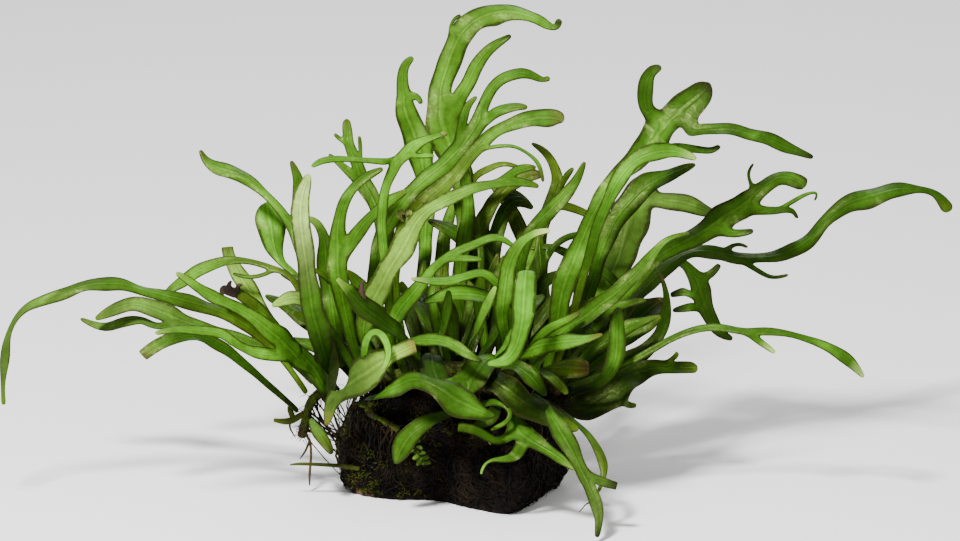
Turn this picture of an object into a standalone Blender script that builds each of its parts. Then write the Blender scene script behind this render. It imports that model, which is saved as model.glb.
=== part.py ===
"""Java fern on a lump of driftwood.

Frame: metres, +Z up, the origin at the middle of the wood's flat underside, +X along the
plant's long side, -Y towards the front.

The fronds are drawn as on a drawing board that leans back by LEAN: a point is given in
millimetres as (across, up, toward), where across is +X, up runs up the board, and toward
comes out of the board to the front. A point on a leaf's axis also has the half-width of
the blade there. Each frond is one closed strap, with its lobes drawn out of its rim.
"""
import math
from collections import namedtuple

import bpy
from mathutils import Vector

MM = 0.001
LEAN = math.radians(15)             # the drawing board leans back by this
FACE_TILT = math.radians(30)        # blades turn their faces up from the board by this
BLADE_THICKNESS = 0.8               # mm
STIPE_THICKNESS = 1.3               # mm, where a leaf is only a stalk
LEAST_HALF_WIDTH = 0.45             # mm
LEAST_STEP = 2.2                    # mm between two rings of a strap
MOST_TWIST = math.radians(45)       # from one ring of a strap to the next
LEAST_GAIN = 0.35                   # mm that each corner moves on from ring to ring, inside a bend
SPAN_STEPS = 8                      # steps of a smooth curve between two of its points
CLEAR_OF_PARENT = 0.5               # mm between a lobe's first ring and its parent's rim
LEAST_FORK_SINE = 0.4               # a lobe that leaves more nearly along its parent is taken as this
LEAST_SIDE = 0.35                   # a face this nearly along the leaf keeps the ring's last side
LEAST_SEEN = 0.55                   # a blade turned away is widened by no more than one over this
RHIZOME_SIDES = 8
RHIZOME_END = 0.6                   # an end's radius, as a share of the stem's
WOOD_KNOT = 0.035                   # how far the wood's bumps stand out, as a share of its radius
WOOD_KNOTS_APART = 5                # radians of the bumps' wave from one point to the next

ACROSS = Vector((1, 0, 0))
UP = Vector((0, math.sin(LEAN), math.cos(LEAN)))
TOWARD = Vector((0, -math.cos(LEAN), math.sin(LEAN)))
FACE = math.cos(FACE_TILT) * TOWARD + math.sin(FACE_TILT) * UP

Leaf = namedtuple("Leaf", "axis lobes", defaults=[()])

# ---------------------------------------------------------------- driving dimensions

# Plan outline of the wood's flat underside (x, y), mm.
WOOD_OUTLINE = [
    (-36, -8), (-23, -15.5), (-8, -17), (6, -28), (17, -35), (24, -27), (30, -11),
    (35, 4), (29, 17), (14, 25), (-4, 27), (-20, 23), (-33, 14), (-38, 2),
]
WOOD_POINTS_AROUND = 28
# Height of each level of the wood, then how its outline grows and shifts there, mm.
WOOD_LEVELS = [
    (0, 1.00, 1.00, 0.0, 0.0), (4, 1.07, 1.03, 0.5, 0.0), (10, 1.10, 1.03, 0.5, 0.0),
    (18, 1.08, 0.98, -0.5, 0.0), (25, 0.98, 0.88, -1.0, 1.0), (31, 0.80, 0.72, -1.0, 2.0),
    (35, 0.55, 0.50, 0.0, 3.0), (37, 0.27, 0.24, 1.0, 3.5),
]

# Rhizome axes, on the board, mm.
RHIZOMES = {
    "rhizome_left": (1.8, [(-56, 18, 4), (-54.5, 24, 5), (-53, 30, 5), (-49, 34.5, 4), (-43, 37, 3)]),
    "rhizome_top": (3.0, [(-33, 38, 4), (-22, 40, 6), (-8, 42.5, 9), (6, 42.5, 9), (20, 41, 8),
                          (31, 38.5, 10), (38, 34, 14)]),
    "rhizome_back": (2.8, [(-26, 37.5, -8), (-12, 41, -9), (4, 41.5, -9), (18, 39.5, -9), (30, 34.5, -8)]),
    "rhizome_front": (1.2, [(-37.5, 30.2, 24), (-33.5, 30, 27), (-30.5, 26.5, 27.5), (-26, 24, 28),
                            (-20.5, 21, 30)]),
    "rhizome_front_right": (2.3, [(1, 36.5, 24), (11, 36, 25.5), (21, 34, 25.5), (30, 30.5, 24.5)]),
}

# ------------------------------------------------------------------------- the fronds

FRONDS = {
    # ---- left side, from the left rhizome
    "frond_tall_pale": Leaf([
        (-45, 41, 12, 1.3), (-47, 48, 22, 3.4), (-49.5, 56, 28, 4.2), (-51.8, 64, 32, 3.7),
        (-53, 75, 36, 3.4), (-55, 87, 40, 3.3), (-56, 97, 43, 3.1), (-55.3, 105, 45, 2.9),
        (-53.8, 110, 46, 1.9), (-53, 113, 46, 0.9)]),
    "frond_left_bright": Leaf([
        (-50.5, 38.5, 9, 1.1), (-54, 44, 22, 2.8), (-58.5, 49, 28, 4.0), (-64, 54.5, 34, 3.6),
        (-70, 59.6, 39, 2.9), (-76, 63.4, 42, 2.4), (-83, 67, 46, 2.1), (-90, 70.7, 50, 1.8),
        (-96, 74.7, 53, 1.5), (-100.5, 77.5, 55, 0.7)], (
            Leaf([(-60, 50, 30, 2.6), (-67, 48.4, 34, 2.5), (-73, 49.3, 37, 2.0),
                  (-79, 51.8, 41, 1.8), (-84, 55.6, 44, 1.7), (-92, 57, 47, 1.6),
                  (-100, 57.3, 51, 1.4), (-108, 55.8, 54, 0.7)]),)),
    "frond_left_long_arch": Leaf([
        (-54, 34, 1, 1.0), (-61, 44, 6, 1.1), (-70, 54, 11, 1.5), (-80, 61, 16, 2.2),
        (-90, 65, 20, 2.5), (-100, 67.8, 24, 2.4), (-110, 70.4, 27, 1.9), (-119, 73, 30, 1.9),
        (-127, 73.2, 32, 2.4), (-134, 72.6, 33, 2.0), (-141, 70.2, 34, 2.0),
        (-148, 67.6, 35, 1.8), (-154, 65.2, 35, 1.4), (-158.5, 60.5, 35, 0.9),
        (-161, 54.5, 34, 1.0), (-162.2, 47.5, 33, 1.9), (-162.6, 41, 32, 1.1),
        (-162.8, 35.5, 31, 0.7), (-162.5, 30, 30, 0.9)]),
    "frond_left_thin": Leaf([
        (-47, 39.5, -4, 1.0), (-51, 54, -8, 0.9), (-55, 66, -11, 0.9), (-60, 76, -13, 1.0),
        (-67, 79.2, -15, 1.1), (-74, 81.4, -17, 1.0), (-81, 82, -19, 1.3), (-87, 80.8, -20, 1.9),
        (-93, 78.3, -21, 2.4), (-99, 75, -22, 2.4), (-103.5, 71.5, -23, 1.3),
        (-106, 69.6, -23, 0.6)], (
            Leaf([(-66, 78.8, -15, 0.8), (-70, 76.6, -15, 0.7), (-76, 75.9, -16, 0.7),
                  (-81, 77.3, -17, 0.5)]),)),
    "frond_left_pale_low": Leaf([
        (-51.5, 37.5, 0, 1.0), (-58, 44, -1, 1.1), (-67, 49.6, -3, 1.2), (-80, 54.7, -5, 1.7),
        (-90, 57.5, -6, 2.2), (-100, 60.8, -7, 2.7), (-109, 64.4, -8, 2.8),
        (-117, 66.5, -9, 2.4), (-124, 64.4, -10, 2.6), (-130.5, 60.7, -11, 0.7)], (
            Leaf([(-100, 60, -7, 1.6), (-108, 58, -7, 1.4), (-114, 60.6, -12, 1.5),
                  (-121, 59.6, -14, 1.6), (-128, 57.8, -16, 1.5), (-136, 61, -18, 0.6)]),)),
    "frond_left_cut": Leaf([
        (-57, 27.5, 5, 0.9), (-63, 33, 8, 1.0), (-70, 39, 10, 1.3), (-77, 45.2, 13, 1.6),
        (-84, 51, 16, 1.9), (-91, 54.4, 19, 2.1), (-98, 54.9, 22, 2.2), (-104, 53.2, 24, 2.2),
        (-109, 50.8, 25, 2.2), (-113, 48, 26, 2.0)]),
    "frond_left_pale_tip": Leaf([
        (-50, 38.8, -8, 1.0), (-57, 47, -17, 1.1), (-65, 57, -25, 1.5), (-71, 64, -29, 2.2),
        (-74, 69, -31, 2.9), (-77, 74, -33, 3.3), (-80, 79.3, -35, 2.6), (-82.5, 84, -37, 2.1),
        (-83, 87, -38, 1.9)]),
    "frond_upper_left_hook": Leaf([
        (-40, 42, -4, 1.0), (-47, 58, -14, 1.1), (-53, 75, -21, 1.4), (-57, 87, -25, 1.9),
        (-61, 96, -28, 1.8), (-65.5, 102, -30, 1.5), (-70, 106.5, -32, 1.5),
        (-75.5, 111, -34, 2.1), (-81, 113.6, -36, 2.6), (-86.5, 115, -38, 2.3),
        (-91, 118, -39, 1.4), (-93, 122, -40, 0.7)], (
            Leaf([(-58, 90, -26, 1.8), (-57.3, 97, -27, 2.4), (-57.6, 104, -22, 2.1),
                  (-57.3, 111, -20, 1.9), (-60, 118, -20, 0.7)]),)),
    "frond_upper_left_round": Leaf([
        (-44, 41.5, -12, 1.0), (-51, 60, -28, 1.0), (-57.5, 75.5, -34, 1.1), (-63, 80.5, -36, 1.3),
        (-66, 85.5, -38, 3.0), (-67, 91, -40, 4.4), (-67.8, 96, -42, 4.8),
        (-68.6, 100.4, -44, 3.5), (-69, 103, -45, 1.3)]),

    # ---- upper left and middle, from the top rhizome
    "frond_bright_vertical": Leaf([
        (-21, 46, 12, 1.2), (-24, 62, 22, 1.6), (-25.5, 80, 30, 1.9), (-27, 95, 35, 1.8),
        (-26.3, 105, 38, 1.7), (-23.5, 112.5, 41, 1.8), (-19.5, 119, 43, 2.1),
        (-14.5, 123.8, 44, 1.9), (-9, 125.8, 45, 1.1), (-5, 127, 45, 0.8)], (
            Leaf([(-21.5, 116.5, 43, 1.2), (-27, 117.3, 45, 1.2), (-34, 117.8, 47, 0.9),
                  (-42, 118.2, 49, 1.1), (-48.5, 117.6, 51, 1.2), (-52, 115.3, 52, 0.7)]),
            Leaf([(-18, 120, 43, 1.2), (-13, 119.4, 43, 1.0), (-8, 119.4, 43, 0.6)]))),
    "frond_antler": Leaf([
        (-28, 43.5, -6, 1.2), (-29, 62, -14, 1.6), (-28, 80, -21, 2.0), (-27.6, 95, -26, 2.3),
        (-30, 104, -28, 2.6), (-33.6, 110.5, -30, 2.9), (-36.8, 117.5, -31, 2.1),
        (-39, 123.5, -32, 1.8), (-39.6, 128.5, -33, 1.8), (-40, 133, -34, 1.2)], (
            Leaf([(-38.5, 123, -32, 0.8), (-42, 125.4, -33, 0.8), (-44.5, 127.8, -33, 0.6)]),
            Leaf([(-37, 117, -31, 0.8), (-35, 122, -31, 0.8), (-35.4, 127, -31, 0.6)]),
            Leaf([(-34, 110, -30, 1.4), (-39, 114, -30, 1.4), (-42.5, 117, -31, 1.2),
                  (-46.5, 120.5, -32, 0.6)]))),
    "frond_middle_left": Leaf([
        (-34, 42, 8, 1.3), (-38.5, 56, 10, 2.2), (-41.5, 70, 10, 3.2), (-42.8, 82, 9, 3.6),
        (-43, 91, 9, 2.8), (-42, 99, 9, 2.2), (-38.5, 106, 9, 1.9), (-33.5, 111.5, 9, 1.7),
        (-26.5, 115, 9, 0.8)], (
            Leaf([(-42, 82, 9, 2.4), (-35.5, 92, 11, 2.6), (-30, 98.3, 13, 2.1),
                  (-24.5, 103, 15, 1.8), (-18, 107, 17, 0.9)]),)),
    "frond_long_pale_arc": Leaf([
        (-29, 44, 13, 1.4), (-33.5, 54, 20, 2.4), (-32, 64, 26, 3.7), (-27.5, 73, 31, 4.1),
        (-23, 81, 34, 3.9), (-18.5, 88.5, 37, 3.7), (-15, 95, 39, 3.2), (-10.5, 100.2, 40, 2.6),
        (-4, 103.5, 41, 2.1), (4, 107, 42, 1.9), (12, 109.2, 42, 1.8), (20, 110.3, 41, 1.7),
        (26, 109.5, 40, 1.3), (29.5, 108.3, 39, 0.7)], (
            Leaf([(14, 109.6, 42, 1.5), (20, 113.6, 41, 1.8), (24.5, 115.3, 43, 1.5),
                  (28.5, 115.2, 43, 0.7)]),)),
    "frond_second_arc": Leaf([
        (-22.5, 46, 15, 1.2), (-24, 55, 24, 2.0), (-21, 63, 30, 2.9), (-15.5, 70, 34, 2.7),
        (-11, 76, 36, 2.0), (-6.5, 81, 37, 1.7), (-1, 84.5, 38, 1.5), (6, 87.5, 38, 1.4),
        (12.5, 90.2, 38, 1.4), (17, 89.4, 37, 1.2), (20.3, 86.8, 36, 0.7)], (
            Leaf([(-4, 83, 37, 1.1), (3, 82.6, 39, 1.3), (9, 82.2, 40, 0.7)]),)),
    "frond_top_left": Leaf([
        (-16, 44, -8, 1.2), (-14, 65, -24, 1.8), (-11.5, 88, -38, 2.4), (-11, 106, -46, 3.2),
        (-12.8, 119, -50, 4.2), (-15.8, 129, -52, 4.4), (-18.8, 136.5, -54, 4.2),
        (-19.6, 142.5, -55, 2.6), (-20, 148, -56, 1.7), (-18.9, 153, -56, 1.6),
        (-15.9, 155.7, -56, 1.0)], (
            Leaf([(-18.5, 138.5, -54, 1.3), (-14.6, 141.4, -54, 1.4), (-13, 138.6, -53, 0.7)]),)),
    "frond_top_main": Leaf([
        (-6, 47, 0, 1.4), (-2, 65, -8, 1.8), (1.5, 82, -15, 2.3), (2.6, 98, -20, 2.9),
        (1.5, 112, -24, 3.8), (-2, 122.5, -27, 5.2), (-5.4, 131, -29, 6.2),
        (-6.3, 139.5, -31, 4.6), (-5, 147, -32, 3.9), (-3, 153.5, -33, 3.8),
        (-0.6, 160, -34, 4.2), (3.5, 165.4, -34, 4.1), (9, 169.6, -34, 3.7),
        (15, 171.9, -34, 3.5), (21, 171.6, -33, 3.0), (26.5, 169.9, -32, 2.1),
        (31, 167.8, -32, 1.6), (34.6, 165.4, -31, 1.0), (36.4, 167.6, -31, 0.8)], (
            Leaf([(-2, 164, -34, 0.8), (-2.2, 168, -35, 0.8), (1.4, 170.7, -35, 0.6)]),
            Leaf([(-3, 134, -30, 2.5), (3.2, 144.5, -29, 2.6), (6.4, 151.3, -28, 2.2),
                  (10.5, 157, -28, 1.9), (15.4, 160.8, -27, 1.7), (19.6, 163.3, -27, 0.8)]))),
    "frond_top_right": Leaf([
        (-25, 44.5, 3, 1.2), (-30, 62, -1, 1.7), (-30, 79, -4, 2.2), (-26.5, 92, -6, 2.6),
        (-20.5, 101.8, -7, 2.9), (-12.5, 110, -7, 3.0), (-4, 117, -7, 3.1), (3, 124, -8, 3.1),
        (7.3, 131, -9, 2.9), (9, 137.5, -10, 2.0), (12, 143.4, -11, 2.0), (17, 147.6, -12, 2.0),
        (23, 149.4, -13, 1.9), (28.5, 148.9, -14, 1.3), (32.8, 147.6, -14, 0.6)], (
            Leaf([(0.5, 124, -8, 1.7), (2.4, 134, -8, 1.7), (5.2, 139.6, -8, 1.1),
                  (7.3, 141, -8, 0.6)]),
            Leaf([(8, 130, -9, 1.7), (14, 135.4, -7, 1.9), (20, 137.3, -6, 1.8),
                  (25.5, 137, -5, 0.8)]))),
    "frond_top_right_low": Leaf([
        (-18, 46.5, 6, 1.2), (-22, 66, 7, 1.7), (-22, 84, 8, 2.1), (-19, 95, 8, 2.5),
        (-12, 102.6, 8, 2.7), (-4.5, 108.5, 8, 2.6), (1.5, 115.3, 8, 2.5), (7, 122.4, 8, 2.4),
        (13.5, 127.8, 8, 2.1), (20, 131, 8, 2.2), (26, 132.9, 8, 2.7), (31.5, 133.8, 8, 3.5),
        (35.8, 133.4, 8, 3.2), (38.3, 132, 8, 1.6)], (
            Leaf([(7, 121.8, 8, 0.9), (13.5, 122.8, 10, 0.7), (20, 123.2, 11, 0.6),
                  (25.5, 120.4, 11, 0.5), (29.5, 116.6, 11, 0.8), (31, 110, 11, 0.6)]),)),
    "frond_dark_middle": Leaf([
        (4, 46.5, -1, 1.3), (9, 64, -17, 1.9), (12.5, 82, -27, 2.5), (15, 94, -31, 2.9),
        (19, 102.5, -33, 2.4), (24, 103.3, -34, 1.7), (27.5, 100.6, -34, 0.8)]),
    "frond_dark_crossing": Leaf([
        (22, 43.5, -3, 1.3), (27, 62, -22, 2.0), (27, 80, -34, 2.5), (22.5, 94, -41, 2.8),
        (17, 104, -45, 2.0), (12, 110, -47, 0.8)]),
    "frond_dark_vertical": Leaf([
        (25, 44, 4, 1.4), (29, 58, 0, 2.0), (30.3, 72, -4, 2.3), (30, 84, -7, 2.0),
        (29.6, 92.5, -9, 0.8)], (
            Leaf([(30, 80, -6, 1.1), (36.5, 88.6, -7, 1.2), (44, 91.4, -8, 1.1),
                  (51, 90.4, -9, 0.9), (58, 90.4, -10, 0.5)]),)),

    # ---- middle front
    "frond_band": Leaf([
        (14, 46.5, 11, 1.1), (19, 56, 20, 1.6), (17, 65.6, 26, 2.2), (9, 69.2, 29, 2.6),
        (2, 70, 31, 2.7), (-5, 69.4, 32, 2.3), (-12.5, 67, 33, 0.7)]),
    "frond_light_middle": Leaf([
        (18, 45.5, 16, 1.2), (17, 57, 33, 2.3), (16.8, 68, 43, 3.0), (17.8, 77, 48, 2.8),
        (20.3, 84.5, 50, 2.2), (24.3, 89.9, 51, 1.8), (29, 92, 52, 1.3), (33.5, 92.6, 52, 0.8)]),
    "frond_right_green": Leaf([
        (28.5, 44, 9, 1.2), (22.5, 56, 9, 1.6), (22, 72, 9, 1.9), (23.6, 85, 9, 2.2),
        (27.3, 93.3, 9, 2.6), (32.8, 99.2, 9, 2.9), (38, 104.5, 9, 2.3), (42.6, 110, 9, 1.8),
        (46, 117.5, 9, 0.7)]),
    "frond_brown_tip": Leaf([
        (10, 45.5, 2, 1.2), (16, 60, -6, 1.4), (23, 76, -13, 1.6), (29.5, 91, -19, 2.0),
        (33.8, 103, -22, 2.6), (36, 111, -24, 1.9), (34.3, 117.8, -25, 1.7),
        (31, 121.9, -26, 1.3), (26.8, 124.3, -26, 0.5)], (
            Leaf([(34.4, 106, -23, 1.1), (39.6, 112.6, -22, 1.2), (42, 115.4, -22, 0.6)]),)),
    "frond_bright_drooping": Leaf([
        (12, 46, 22, 1.2), (17.5, 52, 36, 1.6), (22, 60, 44, 2.0), (24.6, 71, 51, 2.8), (25, 78, 56, 3.5),
        (24.4, 75.5, 61, 3.7), (24, 67, 63, 3.7), (23.2, 58, 64, 3.4), (21, 50.3, 64, 2.9),
        (16.8, 45.8, 64, 2.1), (11, 45, 63, 0.8)]),
    "frond_diagonal_dark": Leaf([
        (-13, 46.3, 17, 1.3), (-17.5, 52.5, 27, 2.4), (-24, 58.3, 37, 3.3), (-31, 64, 43, 3.5),
        (-37.5, 70, 46, 2.6), (-43, 75.4, 48, 0.8)]),
    "frond_bright_left_arch": Leaf([
        (-28, 42.5, 11, 1.0), (-24, 46.5, 26, 1.1), (-18, 52.4, 38, 1.6), (-12, 53.9, 42, 2.1),
        (-5.5, 53.1, 47, 2.1), (0, 50.9, 50, 2.0), (5, 47.8, 52, 1.5), (9, 45.6, 53, 0.6)]),
    "frond_pale_ragged": Leaf([
        (-42.5, 33.2, 20, 1.2), (-42, 36, 29, 4.2), (-37.8, 39.4, 36, 6.0), (-31.5, 42.8, 38, 5.7),
        (-26, 46, 40, 4.2), (-20.8, 49, 43, 2.9), (-15, 51.6, 45, 2.2)], (
            Leaf([(-42, 38, 32, 2.4), (-44.8, 31.5, 32, 2.3), (-46, 27, 31, 1.9),
                  (-46.8, 22.6, 30, 0.8)]),)),
    "frond_front_arch": Leaf([
        (-32.4, 32.4, 29, 0.9), (-28, 33.4, 38, 1.8), (-22, 36.4, 45, 2.6), (-15.5, 39, 50, 2.8),
        (-9.8, 38, 53, 3.5), (-4, 34.2, 55, 5.0), (1.6, 30.6, 56, 4.7), (7, 28.2, 57, 2.9),
        (13.3, 26.4, 57, 1.2)]),
    "frond_front_drooping": Leaf([
        (5, 36, 29.5, 1.0), (3.5, 30.5, 34, 1.1), (-1.5, 28, 37, 1.4), (-6.5, 25.8, 39, 1.9),
        (-11.5, 23.2, 41, 2.6), (-16, 20, 42, 3.1), (-19.2, 16.2, 42, 3.3), (-21.2, 12.4, 41, 2.7),
        (-21.9, 8.9, 40, 0.8)]),
    "plantlet": Leaf([
        (-17, 18.5, 24, 0.6), (-15, 15.6, 25.5, 0.7), (-13.8, 13, 26.5, 2.0), (-12.6, 10.6, 27.5, 2.4),
        (-11.6, 8.6, 28, 0.9)]),
    "frond_front_star": Leaf([
        (20.5, 37.4, 28.8, 1.1), (21, 30, 37, 1.6), (21.2, 25, 42, 2.8), (22.4, 20.6, 46, 4.0),
        (26, 17.8, 49, 3.2), (31, 15.2, 52, 2.2), (36, 12.2, 54, 2.1), (42.8, 6.8, 56, 0.6)], (
            Leaf([(20.5, 20.6, 45, 1.9), (15, 17, 47, 1.6), (10.5, 19.4, 48, 1.5),
                  (5.5, 21.4, 49, 1.8), (0.4, 22, 49, 1.5)]),
            Leaf([(24.5, 18, 47, 2.2), (21.6, 12.4, 49, 2.3), (17.5, 10.8, 50, 1.2),
                  (13, 10.7, 51, 0.6), (10, 9.8, 51, 0.5), (9.4, 7.6, 51, 0.6),
                  (8.6, 5.4, 51, 0.45)]))),

    # ---- right side
    "frond_trailing": Leaf([
        (27, 34, 28.5, 1.1), (31.8, 30.5, 43, 1.3), (34.2, 25.5, 49, 2.3), (37.2, 21, 53, 3.2),
        (40.4, 15.6, 57, 2.9), (43.2, 10, 60, 2.4), (45.8, 4.6, 62, 2.6), (47.8, 0, 64, 2.1),
        (49.8, -5, 66, 1.9), (50.8, -10, 68, 1.5), (50, -17, 70, 0.9)], (
            Leaf([(45, 6.5, 62, 1.6), (51.5, 3, 62, 1.7), (57.2, 1.3, 62, 1.3)]),)),
    "frond_right_pale_short": Leaf([
        (19, 44.8, 21, 1.2), (24, 48.5, 33, 2.4), (30, 51.3, 41, 3.0), (37, 52.3, 45, 2.8),
        (44, 52.9, 48, 2.2), (52.3, 55.5, 50, 0.5)]),
    "frond_right_brown_ragged": Leaf([
        (29.5, 41.4, 14.8, 1.1), (32, 43.2, 28, 2.9), (38, 43, 33, 3.7), (43.5, 42.6, 36, 3.6),
        (47.4, 42.8, 37, 2.3)]),
    "frond_right_striped": Leaf([
        (26, 43.2, 18, 1.2), (34, 53.5, 25, 2.4), (44, 61, 29, 3.0), (52, 66.6, 31, 2.9),
        (60, 73, 32, 2.7), (66.5, 79.7, 32, 2.2), (71, 85, 32, 1.6), (75.5, 89.6, 31, 1.1),
        (83.5, 91.9, 30, 0.5)]),
    "frond_right_tall": Leaf([
        (32, 42, 13, 1.4), (35.5, 58, 16, 3.0), (38, 71, 17, 3.8), (41.8, 82, 17, 3.8),
        (45.6, 91, 17, 3.1), (49.4, 99.3, 17, 2.6), (54, 107.8, 17, 2.9), (60.5, 115, 17, 3.4),
        (67, 121.3, 17, 4.2), (72.2, 128, 17, 5.2), (77.5, 133.6, 17, 4.9),
        (83, 138.3, 16, 5.0), (88, 142.4, 16, 4.3), (90.8, 145.6, 16, 1.4)], (
            Leaf([(72, 129, 17, 2.4), (68, 136.5, 17, 2.5), (67.5, 143, 18, 2.7),
                  (69, 149, 19, 2.5), (73.3, 151.3, 20, 1.2)]),
            Leaf([(69.5, 118.5, 17, 1.4), (79, 122.6, 16, 1.6), (86.5, 121.7, 15, 1.4),
                  (92, 121.2, 14, 1.2), (94.6, 123.2, 14, 0.9)]),
            Leaf([(73, 125, 17, 2.2), (84, 128.4, 19, 2.0), (91, 129.1, 20, 1.9),
                  (98.5, 129.2, 21, 2.1), (105.5, 127.5, 22, 2.3), (112, 125.3, 22, 2.1),
                  (118.5, 122.5, 22, 2.0), (128, 118.8, 22, 0.8)]))),
    "frond_right_hook": Leaf([
        (34.5, 41, 20, 1.1), (41, 60, 23, 1.3), (46, 79, 26, 1.6), (52, 98, 28, 2.0),
        (58, 111.3, 29, 2.6), (65, 118.4, 29, 3.0), (72.5, 121.2, 29, 3.0), (79, 121, 29, 2.2),
        (86, 118.3, 29, 0.8)]),
    "frond_right_second": Leaf([
        (35, 38.8, 6, 1.3), (42, 56, 4, 1.9), (48, 72, 3, 2.4), (52.6, 86, 2, 2.7),
        (57, 97, 1, 3.1), (63, 104, 0, 3.7), (69, 109, -1, 3.8), (75.5, 112.6, -2, 2.8),
        (81, 114.9, -3, 1.9), (86, 116.6, -4, 0.6)]),
    "frond_right_broad": Leaf([
        (30, 40, 1, 1.5), (43, 53, -10, 3.2), (50.5, 64, -17, 5.0), (55.5, 75, -22, 5.8),
        (59.3, 86, -27, 5.2), (62.3, 95, -30, 6.4), (65, 102, -32, 6.8), (67.5, 108.5, -34, 5.0),
        (69.4, 113.5, -35, 1.4)], (
            Leaf([(66, 104, -32, 2.8), (77, 103.2, -31, 3.0), (85, 101.6, -31, 2.8),
                  (96, 97.6, -31, 1.0)]),)),
    "frond_right_forked": Leaf([
        (38.5, 36.5, 6, 1.4), (50, 58, -1, 2.6), (62, 73, -6, 3.0), (72, 82.5, -10, 2.9),
        (80, 87.6, -13, 2.9), (87, 91, -15, 3.2), (93.5, 95.4, -16, 4.3), (99, 98.9, -17, 4.7),
        (104, 102.4, -17, 3.9), (108, 106, -17, 3.1), (112, 109.6, -17, 2.8),
        (117, 112, -18, 2.4), (122, 111.2, -18, 2.5), (125.4, 108.2, -18, 2.3)], (
            Leaf([(96, 98, -17, 0.8), (103.8, 106, -17, 0.7), (105.9, 109.8, -17, 0.6),
                  (104.6, 113.6, -16, 0.6), (107, 117, -16, 0.5)]),
            Leaf([(103, 99.5, -17, 1.9), (112, 99.8, -16, 1.5), (118.5, 100.2, -15, 1.1),
                  (122.3, 99.4, -15, 0.9), (122.8, 97, -14, 0.7)], (
                      Leaf([(116, 100.2, -16, 0.8), (121.5, 103.4, -16, 0.8),
                            (126.5, 106.2, -17, 0.6), (130.6, 106.6, -17, 0.6),
                            (129, 103.4, -17, 0.5)]),)),
            Leaf([(94, 95, -16, 1.5), (99, 91.6, -15, 1.6), (107, 92.6, -14, 0.9)]))),
    "frond_far_right": Leaf([
        (39.5, 33.5, 0, 1.4), (53, 54, -14, 1.9), (66, 69.5, -26, 2.2), (76, 79.6, -33, 2.3),
        (84, 84.3, -37, 2.2), (93, 84.8, -41, 2.2), (102, 83, -44, 2.1), (110, 82.6, -46, 2.0),
        (117, 83.6, -48, 2.1), (123, 86.4, -50, 2.6), (129, 90.8, -52, 2.4),
        (134.5, 96.8, -54, 2.2), (141, 102, -55, 3.1), (148, 104.6, -56, 3.4),
        (155, 106.2, -57, 3.2), (161.5, 107.5, -58, 2.3), (168, 107.7, -59, 1.2),
        (173.5, 106.4, -60, 1.3), (176.5, 103.2, -60, 2.0), (178.5, 99.6, -60, 2.5)], (
            Leaf([(96, 84.5, -42, 0.9), (101, 88.2, -43, 0.8), (105.2, 86.6, -40, 0.5)]),
            Leaf([(101, 83, -44, 0.9), (108, 78.8, -43, 0.9), (114, 75.6, -42, 0.7),
                  (120, 76.8, -41, 0.5)]))),
    "frond_right_drooping": Leaf([
        (36.5, 37.5, -2, 1.2), (50, 57, -22, 1.6), (63, 73, -38, 1.8), (73, 80.4, -46, 1.9),
        (80.5, 81.4, -50, 1.9), (85.2, 77.6, -52, 2.2), (87.6, 73, -53, 3.0),
        (89.5, 67.5, -54, 2.9), (92, 61, -55, 2.8), (94.6, 55.8, -55, 2.2),
        (100, 53.4, -55, 0.8)], (
            Leaf([(87, 74, -53, 1.5), (92.4, 77.4, -53, 1.4), (95.2, 80.6, -53, 0.9)]),
            Leaf([(87.4, 73.5, -53, 1.4), (82.4, 70.9, -54, 1.6), (77.2, 69.4, -56, 0.9)]),
            Leaf([(89.9, 66, -54, 1.4), (83.4, 64.9, -56, 1.6), (78, 63.8, -58, 0.7)]))),
    "frond_right_low": Leaf([
        (40.5, 36.3, 17.6, 1.1), (55, 42, 22, 1.2), (66, 47.6, 24, 1.2), (74, 52.3, 25, 1.2),
        (81, 55.6, 26, 1.2), (88, 57.5, 27, 1.3), (95, 57.9, 28, 1.3), (103, 56.5, 29, 1.2),
        (112, 56.4, 29, 1.4), (120, 55.3, 29, 1.1), (128, 53, 29, 1.3), (134, 50.5, 29, 1.6),
        (139, 47.4, 29, 1.9), (142.5, 44, 29, 1.7), (146, 39.9, 29, 0.7)], (
            Leaf([(98, 57.4, 28, 1.2), (107.5, 53.4, 29, 1.3), (114.2, 48.7, 30, 0.7)]),)),
    "frond_right_low_broad": Leaf([
        (38, 29, 13, 1.8), (46, 30, 12, 6.0), (53.5, 34.6, 10, 6.8), (60.5, 40, 8, 5.0),
        (68, 43.2, 6, 3.2), (76.5, 43.3, 4, 2.4), (86.6, 43.3, 2, 1.8)], (
            Leaf([(54, 34, 10, 1.1), (61, 30.2, 9, 1.2), (64.6, 29.8, 9, 0.7)]),
            Leaf([(62.5, 42, 7, 1.1), (77, 46.4, 4, 1.0), (79.3, 48.8, 7, 0.7)]))),
    "frond_right_upright": Leaf([
        (40, 36.5, 4, 1.3), (57, 44, -4, 2.6), (67, 49, -6, 2.7), (72.6, 54.6, -7, 2.4),
        (74.6, 60.6, -7, 2.2), (75.6, 66.4, -7, 1.4), (75, 72, -7, 0.9), (73, 77.5, -7, 0.6)]),
    "frond_right_mid_vertical": Leaf([
        (40.3, 33.8, 18.8, 1.2), (52, 39, 26, 2.0), (56.5, 45.5, 28, 2.7), (57.4, 52, 29, 2.8),
        (57.4, 58.5, 29, 2.7), (57.9, 65, 29, 1.4)]),
    "frond_right_dark_broad": Leaf([
        (32.5, 36, -4, 1.4), (45, 48, -18, 3.0), (55, 55, -27, 5.0), (63, 60, -33, 6.2),
        (69, 64, -37, 5.0), (74.5, 68.2, -41, 1.4)]),

    # ---- behind, and low round the back
    "frond_back_left": Leaf([
        (-24, 40.5, -14, 1.2), (-30, 51, -28, 2.2), (-36, 57, -44, 3.0), (-41, 56, -58, 2.8),
        (-45, 50, -70, 1.8), (-46, 45, -77, 0.7)]),
    "frond_back_left_low": Leaf([
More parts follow.
